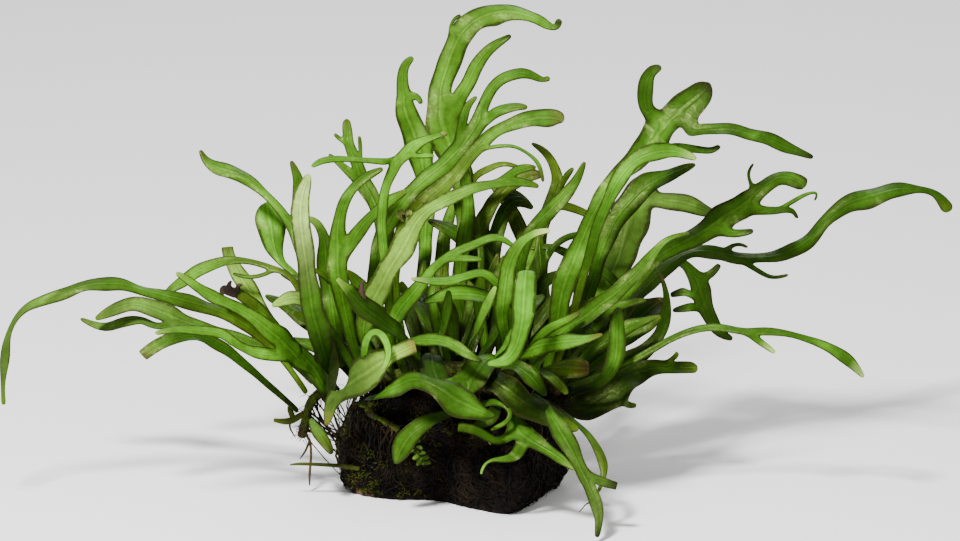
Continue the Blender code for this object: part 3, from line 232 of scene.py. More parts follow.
FRONDS = {
    # ---- left side, from the left rhizome
    "frond_tall_pale": Leaf([
        (-45, 41, 12, 1.3), (-47, 48, 22, 3.4), (-49.5, 56, 28, 4.2), (-51.8, 64, 32, 3.7),
        (-53, 75, 36, 3.4), (-55, 87, 40, 3.3), (-56, 97, 43, 3.1), (-55.3, 105, 45, 2.9),
        (-53.8, 110, 46, 1.9), (-53, 113, 46, 0.9)]),
    "frond_left_bright": Leaf([
        (-50.5, 38.5, 9, 1.1), (-54, 44, 22, 2.8), (-58.5, 49, 28, 4.0), (-64, 54.5, 34, 3.6),
        (-70, 59.6, 39, 2.9), (-76, 63.4, 42, 2.4), (-83, 67, 46, 2.1), (-90, 70.7, 50, 1.8),
        (-96, 74.7, 53, 1.5), (-100.5, 77.5, 55, 0.7)], (
            Leaf([(-60, 50, 30, 2.6), (-67, 48.4, 34, 2.5), (-73, 49.3, 37, 2.0),
                  (-79, 51.8, 41, 1.8), (-84, 55.6, 44, 1.7), (-92, 57, 47, 1.6),
                  (-100, 57.3, 51, 1.4), (-108, 55.8, 54, 0.7)]),)),
    "frond_left_long_arch": Leaf([
        (-54, 34, 1, 1.0), (-61, 44, 6, 1.1), (-70, 54, 11, 1.5), (-80, 61, 16, 2.2),
        (-90, 65, 20, 2.5), (-100, 67.8, 24, 2.4), (-110, 70.4, 27, 1.9), (-119, 73, 30, 1.9),
        (-127, 73.2, 32, 2.4), (-134, 72.6, 33, 2.0), (-141, 70.2, 34, 2.0),
        (-148, 67.6, 35, 1.8), (-154, 65.2, 35, 1.4), (-158.5, 60.5, 35, 0.9),
        (-161, 54.5, 34, 1.0), (-162.2, 47.5, 33, 1.9), (-162.6, 41, 32, 1.1),
        (-162.8, 35.5, 31, 0.7), (-162.5, 30, 30, 0.9)]),
    "frond_left_thin": Leaf([
        (-47, 39.5, -4, 1.0), (-51, 54, -8, 0.9), (-55, 66, -11, 0.9), (-60, 76, -13, 1.0),
        (-67, 79.2, -15, 1.1), (-74, 81.4, -17, 1.0), (-81, 82, -19, 1.3), (-87, 80.8, -20, 1.9),
        (-93, 78.3, -21, 2.4), (-99, 75, -22, 2.4), (-103.5, 71.5, -23, 1.3),
        (-106, 69.6, -23, 0.6)], (
            Leaf([(-66, 78.8, -15, 0.8), (-70, 76.6, -15, 0.7), (-76, 75.9, -16, 0.7),
                  (-81, 77.3, -17, 0.5)]),)),
    "frond_left_pale_low": Leaf([
        (-51.5, 37.5, 0, 1.0), (-58, 44, -1, 1.1), (-67, 49.6, -3, 1.2), (-80, 54.7, -5, 1.7),
        (-90, 57.5, -6, 2.2), (-100, 60.8, -7, 2.7), (-109, 64.4, -8, 2.8),
        (-117, 66.5, -9, 2.4), (-124, 64.4, -10, 2.6), (-130.5, 60.7, -11, 0.7)], (
            Leaf([(-100, 60, -7, 1.6), (-108, 58, -7, 1.4), (-114, 60.6, -12, 1.5),
                  (-121, 59.6, -14, 1.6), (-128, 57.8, -16, 1.5), (-136, 61, -18, 0.6)]),)),
    "frond_left_cut": Leaf([
        (-57, 27.5, 5, 0.9), (-63, 33, 8, 1.0), (-70, 39, 10, 1.3), (-77, 45.2, 13, 1.6),
        (-84, 51, 16, 1.9), (-91, 54.4, 19, 2.1), (-98, 54.9, 22, 2.2), (-104, 53.2, 24, 2.2),
        (-109, 50.8, 25, 2.2), (-113, 48, 26, 2.0)]),
    "frond_left_pale_tip": Leaf([
        (-50, 38.8, -8, 1.0), (-57, 47, -17, 1.1), (-65, 57, -25, 1.5), (-71, 64, -29, 2.2),
        (-74, 69, -31, 2.9), (-77, 74, -33, 3.3), (-80, 79.3, -35, 2.6), (-82.5, 84, -37, 2.1),
        (-83, 87, -38, 1.9)]),
    "frond_upper_left_hook": Leaf([
        (-40, 42, -4, 1.0), (-47, 58, -14, 1.1), (-53, 75, -21, 1.4), (-57, 87, -25, 1.9),
        (-61, 96, -28, 1.8), (-65.5, 102, -30, 1.5), (-70, 106.5, -32, 1.5),
        (-75.5, 111, -34, 2.1), (-81, 113.6, -36, 2.6), (-86.5, 115, -38, 2.3),
        (-91, 118, -39, 1.4), (-93, 122, -40, 0.7)], (
            Leaf([(-58, 90, -26, 1.8), (-57.3, 97, -27, 2.4), (-57.6, 104, -22, 2.1),
                  (-57.3, 111, -20, 1.9), (-60, 118, -20, 0.7)]),)),
    "frond_upper_left_round": Leaf([
        (-44, 41.5, -12, 1.0), (-51, 60, -28, 1.0), (-57.5, 75.5, -34, 1.1), (-63, 80.5, -36, 1.3),
        (-66, 85.5, -38, 3.0), (-67, 91, -40, 4.4), (-67.8, 96, -42, 4.8),
        (-68.6, 100.4, -44, 3.5), (-69, 103, -45, 1.3)]),

    # ---- upper left and middle, from the top rhizome
    "frond_bright_vertical": Leaf([
        (-21, 46, 12, 1.2), (-24, 62, 22, 1.6), (-25.5, 80, 30, 1.9), (-27, 95, 35, 1.8),
        (-26.3, 105, 38, 1.7), (-23.5, 112.5, 41, 1.8), (-19.5, 119, 43, 2.1),
        (-14.5, 123.8, 44, 1.9), (-9, 125.8, 45, 1.1), (-5, 127, 45, 0.8)], (
            Leaf([(-21.5, 116.5, 43, 1.2), (-27, 117.3, 45, 1.2), (-34, 117.8, 47, 0.9),
                  (-42, 118.2, 49, 1.1), (-48.5, 117.6, 51, 1.2), (-52, 115.3, 52, 0.7)]),
            Leaf([(-18, 120, 43, 1.2), (-13, 119.4, 43, 1.0), (-8, 119.4, 43, 0.6)]))),
    "frond_antler": Leaf([
        (-28, 43.5, -6, 1.2), (-29, 62, -14, 1.6), (-28, 80, -21, 2.0), (-27.6, 95, -26, 2.3),
        (-30, 104, -28, 2.6), (-33.6, 110.5, -30, 2.9), (-36.8, 117.5, -31, 2.1),
        (-39, 123.5, -32, 1.8), (-39.6, 128.5, -33, 1.8), (-40, 133, -34, 1.2)], (
            Leaf([(-38.5, 123, -32, 0.8), (-42, 125.4, -33, 0.8), (-44.5, 127.8, -33, 0.6)]),
            Leaf([(-37, 117, -31, 0.8), (-35, 122, -31, 0.8), (-35.4, 127, -31, 0.6)]),
            Leaf([(-34, 110, -30, 1.4), (-39, 114, -30, 1.4), (-42.5, 117, -31, 1.2),
                  (-46.5, 120.5, -32, 0.6)]))),
    "frond_middle_left": Leaf([
        (-34, 42, 8, 1.3), (-38.5, 56, 10, 2.2), (-41.5, 70, 10, 3.2), (-42.8, 82, 9, 3.6),
        (-43, 91, 9, 2.8), (-42, 99, 9, 2.2), (-38.5, 106, 9, 1.9), (-33.5, 111.5, 9, 1.7),
        (-26.5, 115, 9, 0.8)], (
            Leaf([(-42, 82, 9, 2.4), (-35.5, 92, 11, 2.6), (-30, 98.3, 13, 2.1),
                  (-24.5, 103, 15, 1.8), (-18, 107, 17, 0.9)]),)),
    "frond_long_pale_arc": Leaf([
        (-29, 44, 13, 1.4), (-33.5, 54, 20, 2.4), (-32, 64, 26, 3.7), (-27.5, 73, 31, 4.1),
        (-23, 81, 34, 3.9), (-18.5, 88.5, 37, 3.7), (-15, 95, 39, 3.2), (-10.5, 100.2, 40, 2.6),
        (-4, 103.5, 41, 2.1), (4, 107, 42, 1.9), (12, 109.2, 42, 1.8), (20, 110.3, 41, 1.7),
        (26, 109.5, 40, 1.3), (29.5, 108.3, 39, 0.7)], (
            Leaf([(14, 109.6, 42, 1.5), (20, 113.6, 41, 1.8), (24.5, 115.3, 43, 1.5),
                  (28.5, 115.2, 43, 0.7)]),)),
    "frond_second_arc": Leaf([
        (-22.5, 46, 15, 1.2), (-24, 55, 24, 2.0), (-21, 63, 30, 2.9), (-15.5, 70, 34, 2.7),
        (-11, 76, 36, 2.0), (-6.5, 81, 37, 1.7), (-1, 84.5, 38, 1.5), (6, 87.5, 38, 1.4),
        (12.5, 90.2, 38, 1.4), (17, 89.4, 37, 1.2), (20.3, 86.8, 36, 0.7)], (
            Leaf([(-4, 83, 37, 1.1), (3, 82.6, 39, 1.3), (9, 82.2, 40, 0.7)]),)),
    "frond_top_left": Leaf([
        (-16, 44, -8, 1.2), (-14, 65, -24, 1.8), (-11.5, 88, -38, 2.4), (-11, 106, -46, 3.2),
        (-12.8, 119, -50, 4.2), (-15.8, 129, -52, 4.4), (-18.8, 136.5, -54, 4.2),
        (-19.6, 142.5, -55, 2.6), (-20, 148, -56, 1.7), (-18.9, 153, -56, 1.6),
        (-15.9, 155.7, -56, 1.0)], (
            Leaf([(-18.5, 138.5, -54, 1.3), (-14.6, 141.4, -54, 1.4), (-13, 138.6, -53, 0.7)]),)),
    "frond_top_main": Leaf([
        (-6, 47, 0, 1.4), (-2, 65, -8, 1.8), (1.5, 82, -15, 2.3), (2.6, 98, -20, 2.9),
        (1.5, 112, -24, 3.8), (-2, 122.5, -27, 5.2), (-5.4, 131, -29, 6.2),
        (-6.3, 139.5, -31, 4.6), (-5, 147, -32, 3.9), (-3, 153.5, -33, 3.8),
        (-0.6, 160, -34, 4.2), (3.5, 165.4, -34, 4.1), (9, 169.6, -34, 3.7),
        (15, 171.9, -34, 3.5), (21, 171.6, -33, 3.0), (26.5, 169.9, -32, 2.1),
        (31, 167.8, -32, 1.7), (33.8, 165.8, -31, 1.4), (36.2, 166.2, -31, 1.4),
        (36.8, 169.2, -31, 1.2)], (
            Leaf([(-2, 164, -34, 0.8), (-2.2, 168, -35, 0.8), (1.4, 170.7, -35, 0.6)]),
            Leaf([(-3, 134, -30, 2.5), (3.2, 144.5, -29, 2.6), (6.4, 151.3, -28, 2.2),
                  (10.5, 157, -28, 1.9), (15.4, 160.8, -27, 1.7), (19.6, 163.3, -27, 0.8)]))),
    "frond_top_right": Leaf([
        (-25, 44.5, 3, 1.2), (-30, 62, -1, 1.7), (-30, 79, -4, 2.2), (-26.5, 92, -6, 2.6),
        (-20.5, 101.8, -7, 2.9), (-12.5, 110, -7, 3.0), (-4, 117, -7, 3.1), (3, 124, -8, 3.1),
        (7.3, 131, -9, 2.9), (9, 137.5, -10, 2.0), (12, 143.4, -11, 2.0), (17, 147.6, -12, 2.0),
        (23, 149.4, -13, 1.9), (28.5, 148.2, -14, 1.3), (31, 146.6, -14, 1.1),
        (33.2, 148, -14, 1.1)], (
            Leaf([(0.5, 124, -8, 1.7), (2.4, 134, -8, 1.7), (5.2, 139.6, -8, 1.1),
                  (7.3, 141, -8, 0.6)]),
            Leaf([(8, 130, -9, 1.7), (14, 135.4, -7, 1.9), (20, 137.3, -6, 1.8),
                  (25.5, 137, -5, 0.8)]))),
    "frond_top_right_low": Leaf([
        (-18, 46.5, 6, 1.2), (-22, 66, 7, 1.7), (-22, 84, 8, 2.1), (-19, 95, 8, 2.5),
        (-12, 102.6, 8, 2.7), (-4.5, 108.5, 8, 2.6), (1.5, 115.3, 8, 2.5), (7, 122.4, 8, 2.4),
        (13.5, 127.8, 8, 2.1), (20, 131, 8, 2.2), (26, 132.9, 8, 2.7), (31.5, 133.8, 8, 3.5),
        (35.8, 133.4, 8, 3.2), (38.3, 132, 8, 1.6)], (
            Leaf([(7, 121.8, 8, 0.9), (13.5, 122.8, 10, 0.7), (20, 123.2, 11, 0.6),
                  (25.5, 120.4, 11, 0.5), (29.5, 116.6, 11, 0.8), (31, 110, 11, 0.6)]),)),
    "frond_dark_middle": Leaf([
        (4, 46.5, -1, 1.3), (9, 64, -17, 1.9), (12.5, 82, -27, 2.5), (15, 94, -31, 2.9),
        (19, 102.5, -33, 2.4), (24, 103.3, -34, 1.7), (27.5, 100.6, -34, 0.8)]),
    "frond_dark_crossing": Leaf([
        (22, 43.5, -3, 1.3), (27, 62, -22, 2.0), (27, 80, -34, 2.5), (22.5, 94, -41, 2.8),
        (17, 104, -45, 2.0), (12, 110, -47, 0.8)]),
    "frond_dark_vertical": Leaf([
        (25, 44, 4, 1.4), (29, 58, 0, 2.0), (30.3, 72, -4, 2.3), (30, 84, -7, 2.0),
        (29.6, 92.5, -9, 0.8)], (
            Leaf([(30, 80, -6, 1.1), (36.5, 88.6, -7, 1.2), (44, 91.4, -8, 1.1),
                  (51, 90.4, -9, 0.9), (58, 90.4, -10, 0.5)]),)),

    # ---- middle front
    "frond_band": Leaf([
        (14, 46.5, 11, 1.1), (19, 56, 20, 1.6), (17, 65.6, 26, 2.2), (9, 69.2, 29, 2.6),
        (2, 70, 31, 2.7), (-5, 69.4, 32, 2.3), (-12.5, 67, 33, 0.7)]),
    "frond_light_middle": Leaf([
        (18, 45.5, 16, 1.2), (17, 57, 33, 2.3), (16.8, 68, 43, 3.0), (17.8, 77, 48, 2.8),
        (20.3, 84.5, 50, 2.2), (24.3, 89.9, 51, 1.8), (29, 92, 52, 1.3), (33.5, 92.6, 52, 0.8)]),
    "frond_right_green": Leaf([
        (28.5, 44, 9, 1.2), (22.5, 56, 9, 1.6), (22, 72, 9, 1.9), (23.6, 85, 9, 2.2),
        (27.3, 93.3, 9, 2.6), (32.8, 99.2, 9, 2.9), (38, 104.5, 9, 2.3), (42.6, 110, 9, 1.8),
        (46, 117.5, 9, 0.7)]),
    "frond_brown_tip": Leaf([
        (10, 45.5, 2, 1.2), (16, 60, -6, 1.4), (23, 76, -13, 1.6), (29.5, 91, -19, 2.0),
        (33.8, 103, -22, 2.6), (36, 111, -24, 1.9), (34.3, 117.8, -25, 1.7),
        (31, 121.9, -26, 1.3), (26.8, 124.3, -26, 0.5)], (
            Leaf([(34.4, 106, -23, 1.1), (39.6, 112.6, -22, 1.2), (42, 115.4, -22, 0.6)]),)),
    "frond_bright_drooping": Leaf([
        (12, 46, 22, 1.2), (17.5, 52, 36, 1.6), (22, 60, 44, 2.0), (24.6, 71, 51, 2.8), (25, 78, 56, 3.5),
        (24.4, 75.5, 61, 3.7), (24, 67, 63, 3.7), (23.2, 58, 64, 3.4), (21, 50.3, 64, 2.9),
        (16.8, 45.8, 64, 2.1), (11, 45, 63, 0.8)]),
    "frond_diagonal_dark": Leaf([
        (-13, 46.3, 17, 1.3), (-17.5, 52.5, 27, 2.4), (-24, 58.3, 37, 3.3), (-31, 64, 43, 3.5),
        (-37.5, 70, 46, 2.6), (-43, 75.4, 48, 0.8)]),
    "frond_bright_left_arch": Leaf([
        (-28, 42.5, 11, 1.0), (-24, 46.5, 26, 1.1), (-18, 52.4, 38, 1.6), (-12, 53.9, 42, 2.1),
        (-5.5, 53.1, 47, 2.1), (0, 50.9, 50, 2.0), (5, 47.8, 52, 1.5), (9, 45.6, 53, 0.6)]),
    "frond_pale_ragged": Leaf([
        (-42.5, 33.2, 20, 1.2), (-42, 36, 29, 4.2), (-37.8, 39.4, 36, 6.0), (-31.5, 42.8, 38, 5.7),
        (-26, 46, 40, 4.2), (-20.8, 49, 43, 2.9), (-15, 51.6, 45, 2.2)], (
            Leaf([(-42, 38, 32, 2.4), (-44.8, 31.5, 32, 2.3), (-46, 27, 31, 1.9),
                  (-46.8, 22.6, 30, 0.8)]),)),
    "frond_front_arch": Leaf([
        (-32.4, 32.4, 29, 0.9), (-28, 33.4, 38, 1.8), (-22, 36.4, 45, 2.6), (-15.5, 39, 50, 2.8),
        (-9.8, 38, 53, 3.5), (-4, 34.2, 55, 5.0), (1.6, 30.6, 56, 4.7), (7, 28.2, 57, 2.9),
        (13.3, 26.4, 57, 1.2)]),
    "frond_front_drooping": Leaf([
        (5, 36, 29.5, 1.0), (3.5, 30.5, 34, 1.1), (-1.5, 28, 37, 1.4), (-6.5, 25.8, 39, 1.9),
        (-11.5, 23.2, 41, 2.6), (-16, 20, 42, 3.1), (-19.2, 16.2, 42, 3.3), (-21.2, 12.4, 41, 2.7),
        (-21.9, 8.9, 40, 0.8)]),
    "plantlet": Leaf([
        (-17, 18.5, 24, 0.6), (-15, 15.6, 25.5, 0.7), (-13.8, 13, 26.5, 2.0), (-12.6, 10.6, 27.5, 2.4),
        (-11.6, 8.6, 28, 0.9)]),
    "frond_front_star": Leaf([
        (20.5, 37.4, 28.8, 1.1), (21, 30, 37, 1.6), (21.2, 25, 42, 2.8), (22.4, 20.6, 46, 4.0),
        (26, 17.8, 49, 3.2), (31, 15.2, 52, 2.2), (36, 12.2, 54, 2.1), (42.8, 6.8, 56, 0.6)], (
            Leaf([(20.5, 20.6, 45, 1.9), (15, 17, 47, 1.6), (10.5, 19.4, 48, 1.5),
                  (5.5, 21.4, 49, 1.8), (0.4, 22, 49, 1.5)]),
            Leaf([(24.5, 18, 47, 2.2), (21.6, 12.4, 49, 2.3), (17.5, 10.8, 50, 1.2),
                  (13, 10.7, 51, 0.6), (10, 9.8, 51, 0.5), (9.4, 7.6, 51, 0.6),
                  (8.6, 5.4, 51, 0.45)]))),

    # ---- right side
    "frond_trailing": Leaf([
        (27, 34, 28.5, 1.1), (31.8, 30.5, 43, 1.3), (34.2, 25.5, 49, 2.3), (37.2, 21, 53, 3.2),
        (40.4, 15.6, 57, 2.9), (43.2, 10, 60, 2.4), (45.8, 4.6, 62, 2.6), (47.8, 0, 64, 2.1),
        (49.8, -5, 66, 1.9), (50.8, -10, 68, 1.5), (50, -17, 70, 0.9)], (
            Leaf([(45, 6.5, 62, 1.6), (51.5, 3, 62, 1.7), (57.2, 1.3, 62, 1.3)]),)),
    "frond_right_pale_short": Leaf([
        (19, 44.8, 21, 1.2), (24, 48.5, 33, 2.4), (30, 51.3, 41, 3.0), (37, 52.3, 45, 2.8),
        (44, 52.9, 48, 2.2), (52.3, 55.5, 50, 0.5)]),
    "frond_right_brown_ragged": Leaf([
        (29.5, 41.4, 14.8, 1.1), (32, 43.2, 28, 2.9), (38, 43, 33, 3.7), (43.5, 42.6, 36, 3.6),
        (47.4, 42.8, 37, 2.3)]),
    "frond_right_striped": Leaf([
        (26, 43.2, 18, 1.2), (34, 53.5, 25, 2.4), (44, 61, 29, 3.0), (52, 66.6, 31, 2.9),
        (60, 73, 32, 2.7), (66.5, 79.7, 32, 2.2), (71, 85, 32, 1.6), (75.5, 89.6, 31, 1.1),
        (83.5, 91.9, 30, 0.5)]),
    "frond_right_tall": Leaf([
        (32, 42, 13, 1.4), (35.5, 58, 16, 3.0), (38, 71, 17, 3.8), (41.8, 82, 17, 3.8),
        (45.6, 91, 17, 3.1), (49.4, 99.3, 17, 2.6), (54, 107.8, 17, 2.9), (60.5, 115, 17, 3.4),
        (67, 121.3, 17, 4.2), (72.2, 128, 17, 5.2), (77.5, 133.6, 17, 4.9),
        (83, 138.3, 16, 5.0), (88, 142.4, 16, 4.3), (90.8, 145.6, 16, 1.4)], (
            Leaf([(72, 129, 17, 2.4), (68, 136.5, 17, 2.5), (67.5, 143, 18, 2.7),
                  (69, 149, 19, 2.5), (73.3, 151.3, 20, 1.2)]),
            Leaf([(69.5, 118.5, 17, 1.4), (79, 122.6, 16, 1.6), (86.5, 121.7, 15, 1.4),
                  (92, 121.2, 14, 1.2), (94.6, 123.2, 14, 0.9)]),
            Leaf([(73, 125, 17, 2.2), (84, 128.4, 19, 2.0), (91, 129.1, 20, 1.9),
                  (98.5, 129.2, 21, 2.1), (105.5, 127.5, 22, 2.3), (112, 125.3, 22, 2.1),
                  (118.5, 122.5, 22, 2.0), (128, 118.8, 22, 0.8)]))),
    "frond_right_hook": Leaf([
        (34.5, 41, 20, 1.1), (41, 60, 23, 1.3), (46, 79, 26, 1.6), (52, 98, 28, 2.0),
        (58, 111.3, 29, 2.6), (65, 118.4, 29, 3.0), (72.5, 121.2, 29, 3.0), (79, 121, 29, 2.2),
        (86, 118.3, 29, 0.8)]),
    "frond_right_second": Leaf([
        (35, 38.8, 6, 1.3), (42, 56, 4, 1.9), (48, 72, 3, 2.4), (52.6, 86, 2, 2.7),
        (57, 97, 1, 3.1), (63, 104, 0, 3.7), (69, 109, -1, 3.8), (75.5, 112.6, -2, 2.8),
        (81, 114.9, -3, 1.9), (86, 116.6, -4, 0.6)]),
    "frond_right_broad": Leaf([
        (30, 40, 1, 1.5), (43, 53, -10, 3.2), (50.5, 64, -17, 5.0), (55.5, 75, -22, 5.8),
        (59.3, 86, -27, 5.2), (62.3, 95, -30, 6.4), (65, 102, -32, 6.8), (67.5, 108.5, -34, 5.0),
        (69.4, 113.5, -35, 1.4)], (
            Leaf([(66, 104, -32, 2.8), (77, 103.2, -31, 3.0), (85, 101.6, -31, 2.8),
                  (96, 97.6, -31, 1.0)]),)),
    "frond_right_forked": Leaf([
        (38.5, 36.5, 6, 1.4), (50, 58, -1, 2.6), (62, 73, -6, 3.0), (72, 82.5, -10, 2.9),
        (80, 87.6, -13, 2.9), (87, 91, -15, 3.2), (93.5, 95.4, -16, 4.3), (99, 98.9, -17, 4.7),
        (104, 102.4, -17, 3.9), (108, 106, -17, 3.1), (112, 109.6, -17, 2.8),
        (117, 112, -18, 2.4), (122, 111.2, -18, 2.5), (125.4, 108.2, -18, 2.3)], (
            Leaf([(96, 98, -17, 0.8), (103.8, 106, -17, 0.7), (105.9, 109.8, -17, 0.6),
                  (104.6, 113.6, -16, 0.6), (107, 117, -16, 0.5)]),
            Leaf([(103, 99.5, -17, 1.9), (112, 99.8, -16, 1.5), (118.5, 100.2, -15, 1.1),
                  (122.3, 99.4, -15, 0.9), (122.8, 97, -14, 0.7)], (
                      Leaf([(116, 100.2, -16, 0.8), (121.5, 103.4, -16, 0.8),
                            (126.5, 106.2, -17, 0.6), (130.6, 106.6, -17, 0.6),
                            (129, 103.4, -17, 0.5)]),)),
            Leaf([(94, 95, -16, 1.5), (99, 91.6, -15, 1.6), (107, 92.6, -14, 0.9)]))),
    "frond_far_right": Leaf([
        (39.5, 33.5, 0, 1.4), (53, 54, -14, 1.9), (66, 69.5, -26, 2.2), (76, 79.6, -33, 2.3),
        (84, 84.3, -37, 2.2), (93, 84.8, -41, 2.2), (102, 83, -44, 2.1), (110, 82.6, -46, 2.0),
        (117, 83.6, -48, 2.1), (123, 86.4, -50, 2.6), (129, 90.8, -52, 2.4),
        (134.5, 96.8, -54, 2.2), (141, 102, -55, 3.1), (148, 104.6, -56, 3.4),
        (155, 106.2, -57, 3.2), (161.5, 107.5, -58, 2.3), (168, 107.7, -59, 1.2),
        (173.5, 106.4, -60, 1.3), (176.5, 103.2, -60, 2.0), (178.5, 99.6, -60, 2.5)], (
            Leaf([(96, 84.5, -42, 0.9), (101, 88.2, -43, 0.8), (105.2, 86.6, -40, 0.5)]),
            Leaf([(101, 83, -44, 0.9), (108, 78.8, -43, 0.9), (114, 75.6, -42, 0.7),
                  (120, 76.8, -41, 0.5)]))),
    "frond_right_drooping": Leaf([
        (36.5, 37.5, -2, 1.2), (50, 57, -22, 1.6), (63, 73, -38, 1.8), (73, 80.4, -46, 1.9),
        (80.5, 81.4, -50, 1.9), (85.2, 77.6, -52, 2.2), (87.6, 73, -53, 3.0),
        (89.5, 67.5, -54, 2.9), (92, 61, -55, 2.8), (94.6, 55.8, -55, 2.2),
        (100, 53.4, -55, 0.8)], (
            Leaf([(87, 74, -53, 1.5), (92.4, 77.4, -53, 1.4), (95.2, 80.6, -53, 0.9)]),
            Leaf([(87.4, 73.5, -53, 1.4), (82.4, 70.9, -54, 1.6), (77.2, 69.4, -56, 0.9)]),
            Leaf([(89.9, 66, -54, 1.4), (83.4, 64.9, -56, 1.6), (78, 63.8, -58, 0.7)]))),
    "frond_right_low": Leaf([
        (40.5, 36.3, 17.6, 1.1), (55, 42, 22, 1.2), (66, 47.6, 24, 1.2), (74, 52.3, 25, 1.2),
        (81, 55.6, 26, 1.2), (88, 57.5, 27, 1.3), (95, 57.9, 28, 1.3), (103, 56.5, 29, 1.2),
        (112, 56.4, 29, 1.4), (120, 55.3, 29, 1.1), (128, 53, 29, 1.3), (134, 50.5, 29, 1.6),
        (139, 47.4, 29, 1.9), (142.5, 44, 29, 1.7), (146, 39.9, 29, 0.7)], (
            Leaf([(98, 57.4, 28, 1.2), (107.5, 53.4, 29, 1.3), (114.2, 48.7, 30, 0.7)]),)),
    "frond_right_low_broad": Leaf([
        (38, 29, 13, 1.8), (46, 30, 12, 6.0), (53.5, 34.6, 10, 6.8), (60.5, 40, 8, 5.0),
        (68, 43.2, 6, 3.2), (76.5, 43.3, 4, 2.4), (86.6, 43.3, 2, 1.8)], (
            Leaf([(54, 34, 10, 1.1), (61, 30.2, 9, 1.2), (64.6, 29.8, 9, 0.7)]),
            Leaf([(62.5, 42, 7, 1.1), (77, 46.4, 4, 1.0), (79.3, 48.8, 7, 0.7)]))),
    "frond_right_upright": Leaf([
        (40, 36.5, 4, 1.3), (57, 44, -4, 2.6), (67, 49, -6, 2.7), (72.6, 54.6, -7, 2.4),
        (74.6, 60.6, -7, 2.2), (75.6, 66.4, -7, 1.4), (75, 72, -7, 0.9), (73, 77.5, -7, 0.6)]),
    "frond_right_mid_vertical": Leaf([
        (40.3, 33.8, 18.8, 1.2), (52, 39, 26, 2.0), (56.5, 45.5, 28, 2.7), (57.4, 52, 29, 2.8),
        (57.4, 58.5, 29, 2.7), (57.9, 65, 29, 1.4)]),
    "frond_right_dark_broad": Leaf([
        (32.5, 36, -4, 1.4), (45, 48, -18, 3.0), (55, 55, -27, 5.0), (63, 60, -33, 6.2),
        (69, 64, -37, 5.0), (74.5, 68.2, -41, 1.4)]),

    # ---- behind, and low round the back
    "frond_back_left": Leaf([
        (-24, 40.5, -14, 1.2), (-30, 51, -28, 2.2), (-36, 57, -44, 3.0), (-41, 56, -58, 2.8),
        (-45, 50, -70, 1.8), (-46, 45, -77, 0.7)]),
    "frond_back_left_low": Leaf([
        (-15, 42.4, -15, 1.2), (-17, 49, -30, 2.2), (-19, 50, -48, 3.2), (-21, 44, -66, 3.0),
        (-23, 35, -80, 1.8), (-24, 30, -86, 0.7)], (
            Leaf([(-19.5, 48, -54, 1.7), (-29, 42, -66, 2.0), (-33, 36, -76, 0.8)]),)),
    "frond_back_middle": Leaf([
        (0, 43.2, -15, 1.2), (1, 55, -32, 2.2), (2, 64, -52, 3.2), (3, 63, -72, 3.0),
        (4, 56, -88, 1.8), (4.5, 51, -94, 0.7)], (
            Leaf([(2.4, 64, -58, 1.6), (12, 60, -68, 2.0), (17, 55, -80, 0.8)]),)),
    "frond_back_right": Leaf([
        (22, 41, -14, 1.2), (30, 53, -30, 2.4), (37, 59, -50, 3.2), (43, 57, -68, 2.8),
        (47, 50, -82, 1.6), (48, 46, -88, 0.7)]),
    "frond_back_right_low": Leaf([
        (28.5, 38, -13, 1.2), (38, 42, -30, 2.2), (46, 42, -46, 2.8), (53, 37, -60, 2.0),
        (57, 32, -68, 0.7)]),

    # ---- small or hidden fronds that only this visual model has
    "frond_left_dark_short": Leaf([
        (-47, 40.5, 3, 1.0), (-56, 48, 10, 1.2), (-64, 57, 14, 1.6), (-70, 63, 17, 2.2),
        (-75, 67.3, 20, 2.3), (-79.5, 70.6, 22, 1.7), (-83, 71.6, 23, 0.8)]),
    "frond_left_grey_flap": Leaf([
        (-52.5, 25, 10, 0.9), (-51.2, 22, 17, 1.6), (-48.5, 18, 22, 2.5), (-46, 14.5, 25, 1.9),
        (-44.8, 12.3, 26, 0.8)]),
    "frond_left_low_leaf": Leaf([
        (-46, 32, 6, 1.0), (-48, 36.5, 13, 2.6), (-51, 42, 17, 3.6), (-55, 47, 21, 3.8),
        (-59.6, 51.4, 25, 2.8), (-65, 55, 29, 0.9)]),
    "frond_left_base_dark": Leaf([
        (-46, 30.5, 8, 1.0), (-46.4, 35.5, 13, 2.8), (-46.6, 42, 16, 3.8), (-47.6, 50, 19, 3.8),
        (-49, 58, 22, 2.4), (-50, 64, 24, 0.8)]),
    "frond_mid_small": Leaf([
        (24, 46, 20, 1.0), (29, 54, 31, 1.4), (34, 58.2, 33, 1.9), (39.4, 60.6, 34, 1.6),
        (44.4, 63.3, 34, 0.7)]),
    "frond_left_small_pale": Leaf([
        (-46, 46, 10, 1.0), (-50, 60, 22, 1.0), (-54, 66.6, 27, 2.2), (-58, 68.6, 29, 2.6),
        (-62, 67.6, 30, 1.9), (-66.5, 65.5, 30, 0.6)]),
    "frond_left_short_dark": Leaf([
        (-41, 43.5, 6, 1.0), (-44, 60, 4, 2.6), (-46, 74, 2, 3.8), (-47, 83, 1, 3.0),
        (-47.8, 90, 1, 1.9), (-50.5, 96, 0, 1.6), (-54, 97.4, 0, 0.8)]),
    "frond_thin_arch": Leaf([
        (0, 47.5, 4, 1.0), (7, 66, -4, 1.1), (8.5, 86, -12, 1.2), (4, 103, -15, 1.3),
        (6, 111.8, -14, 1.3), (11, 114.8, -13, 1.2), (17, 117, -12, 0.9), (24.5, 114.6, -11, 0.5)]),
    "frond_tongue": Leaf([
        (8, 47, 15, 1.1), (15, 58, 27, 1.4), (16.5, 70, 36, 1.7), (10.5, 77, 40, 1.6),
        (4, 76.3, 43, 1.7), (-3, 74.6, 45, 1.8), (-10, 74.5, 46, 1.3), (-16.5, 75.4, 47, 0.5)]),
    "frond_thin_middle": Leaf([
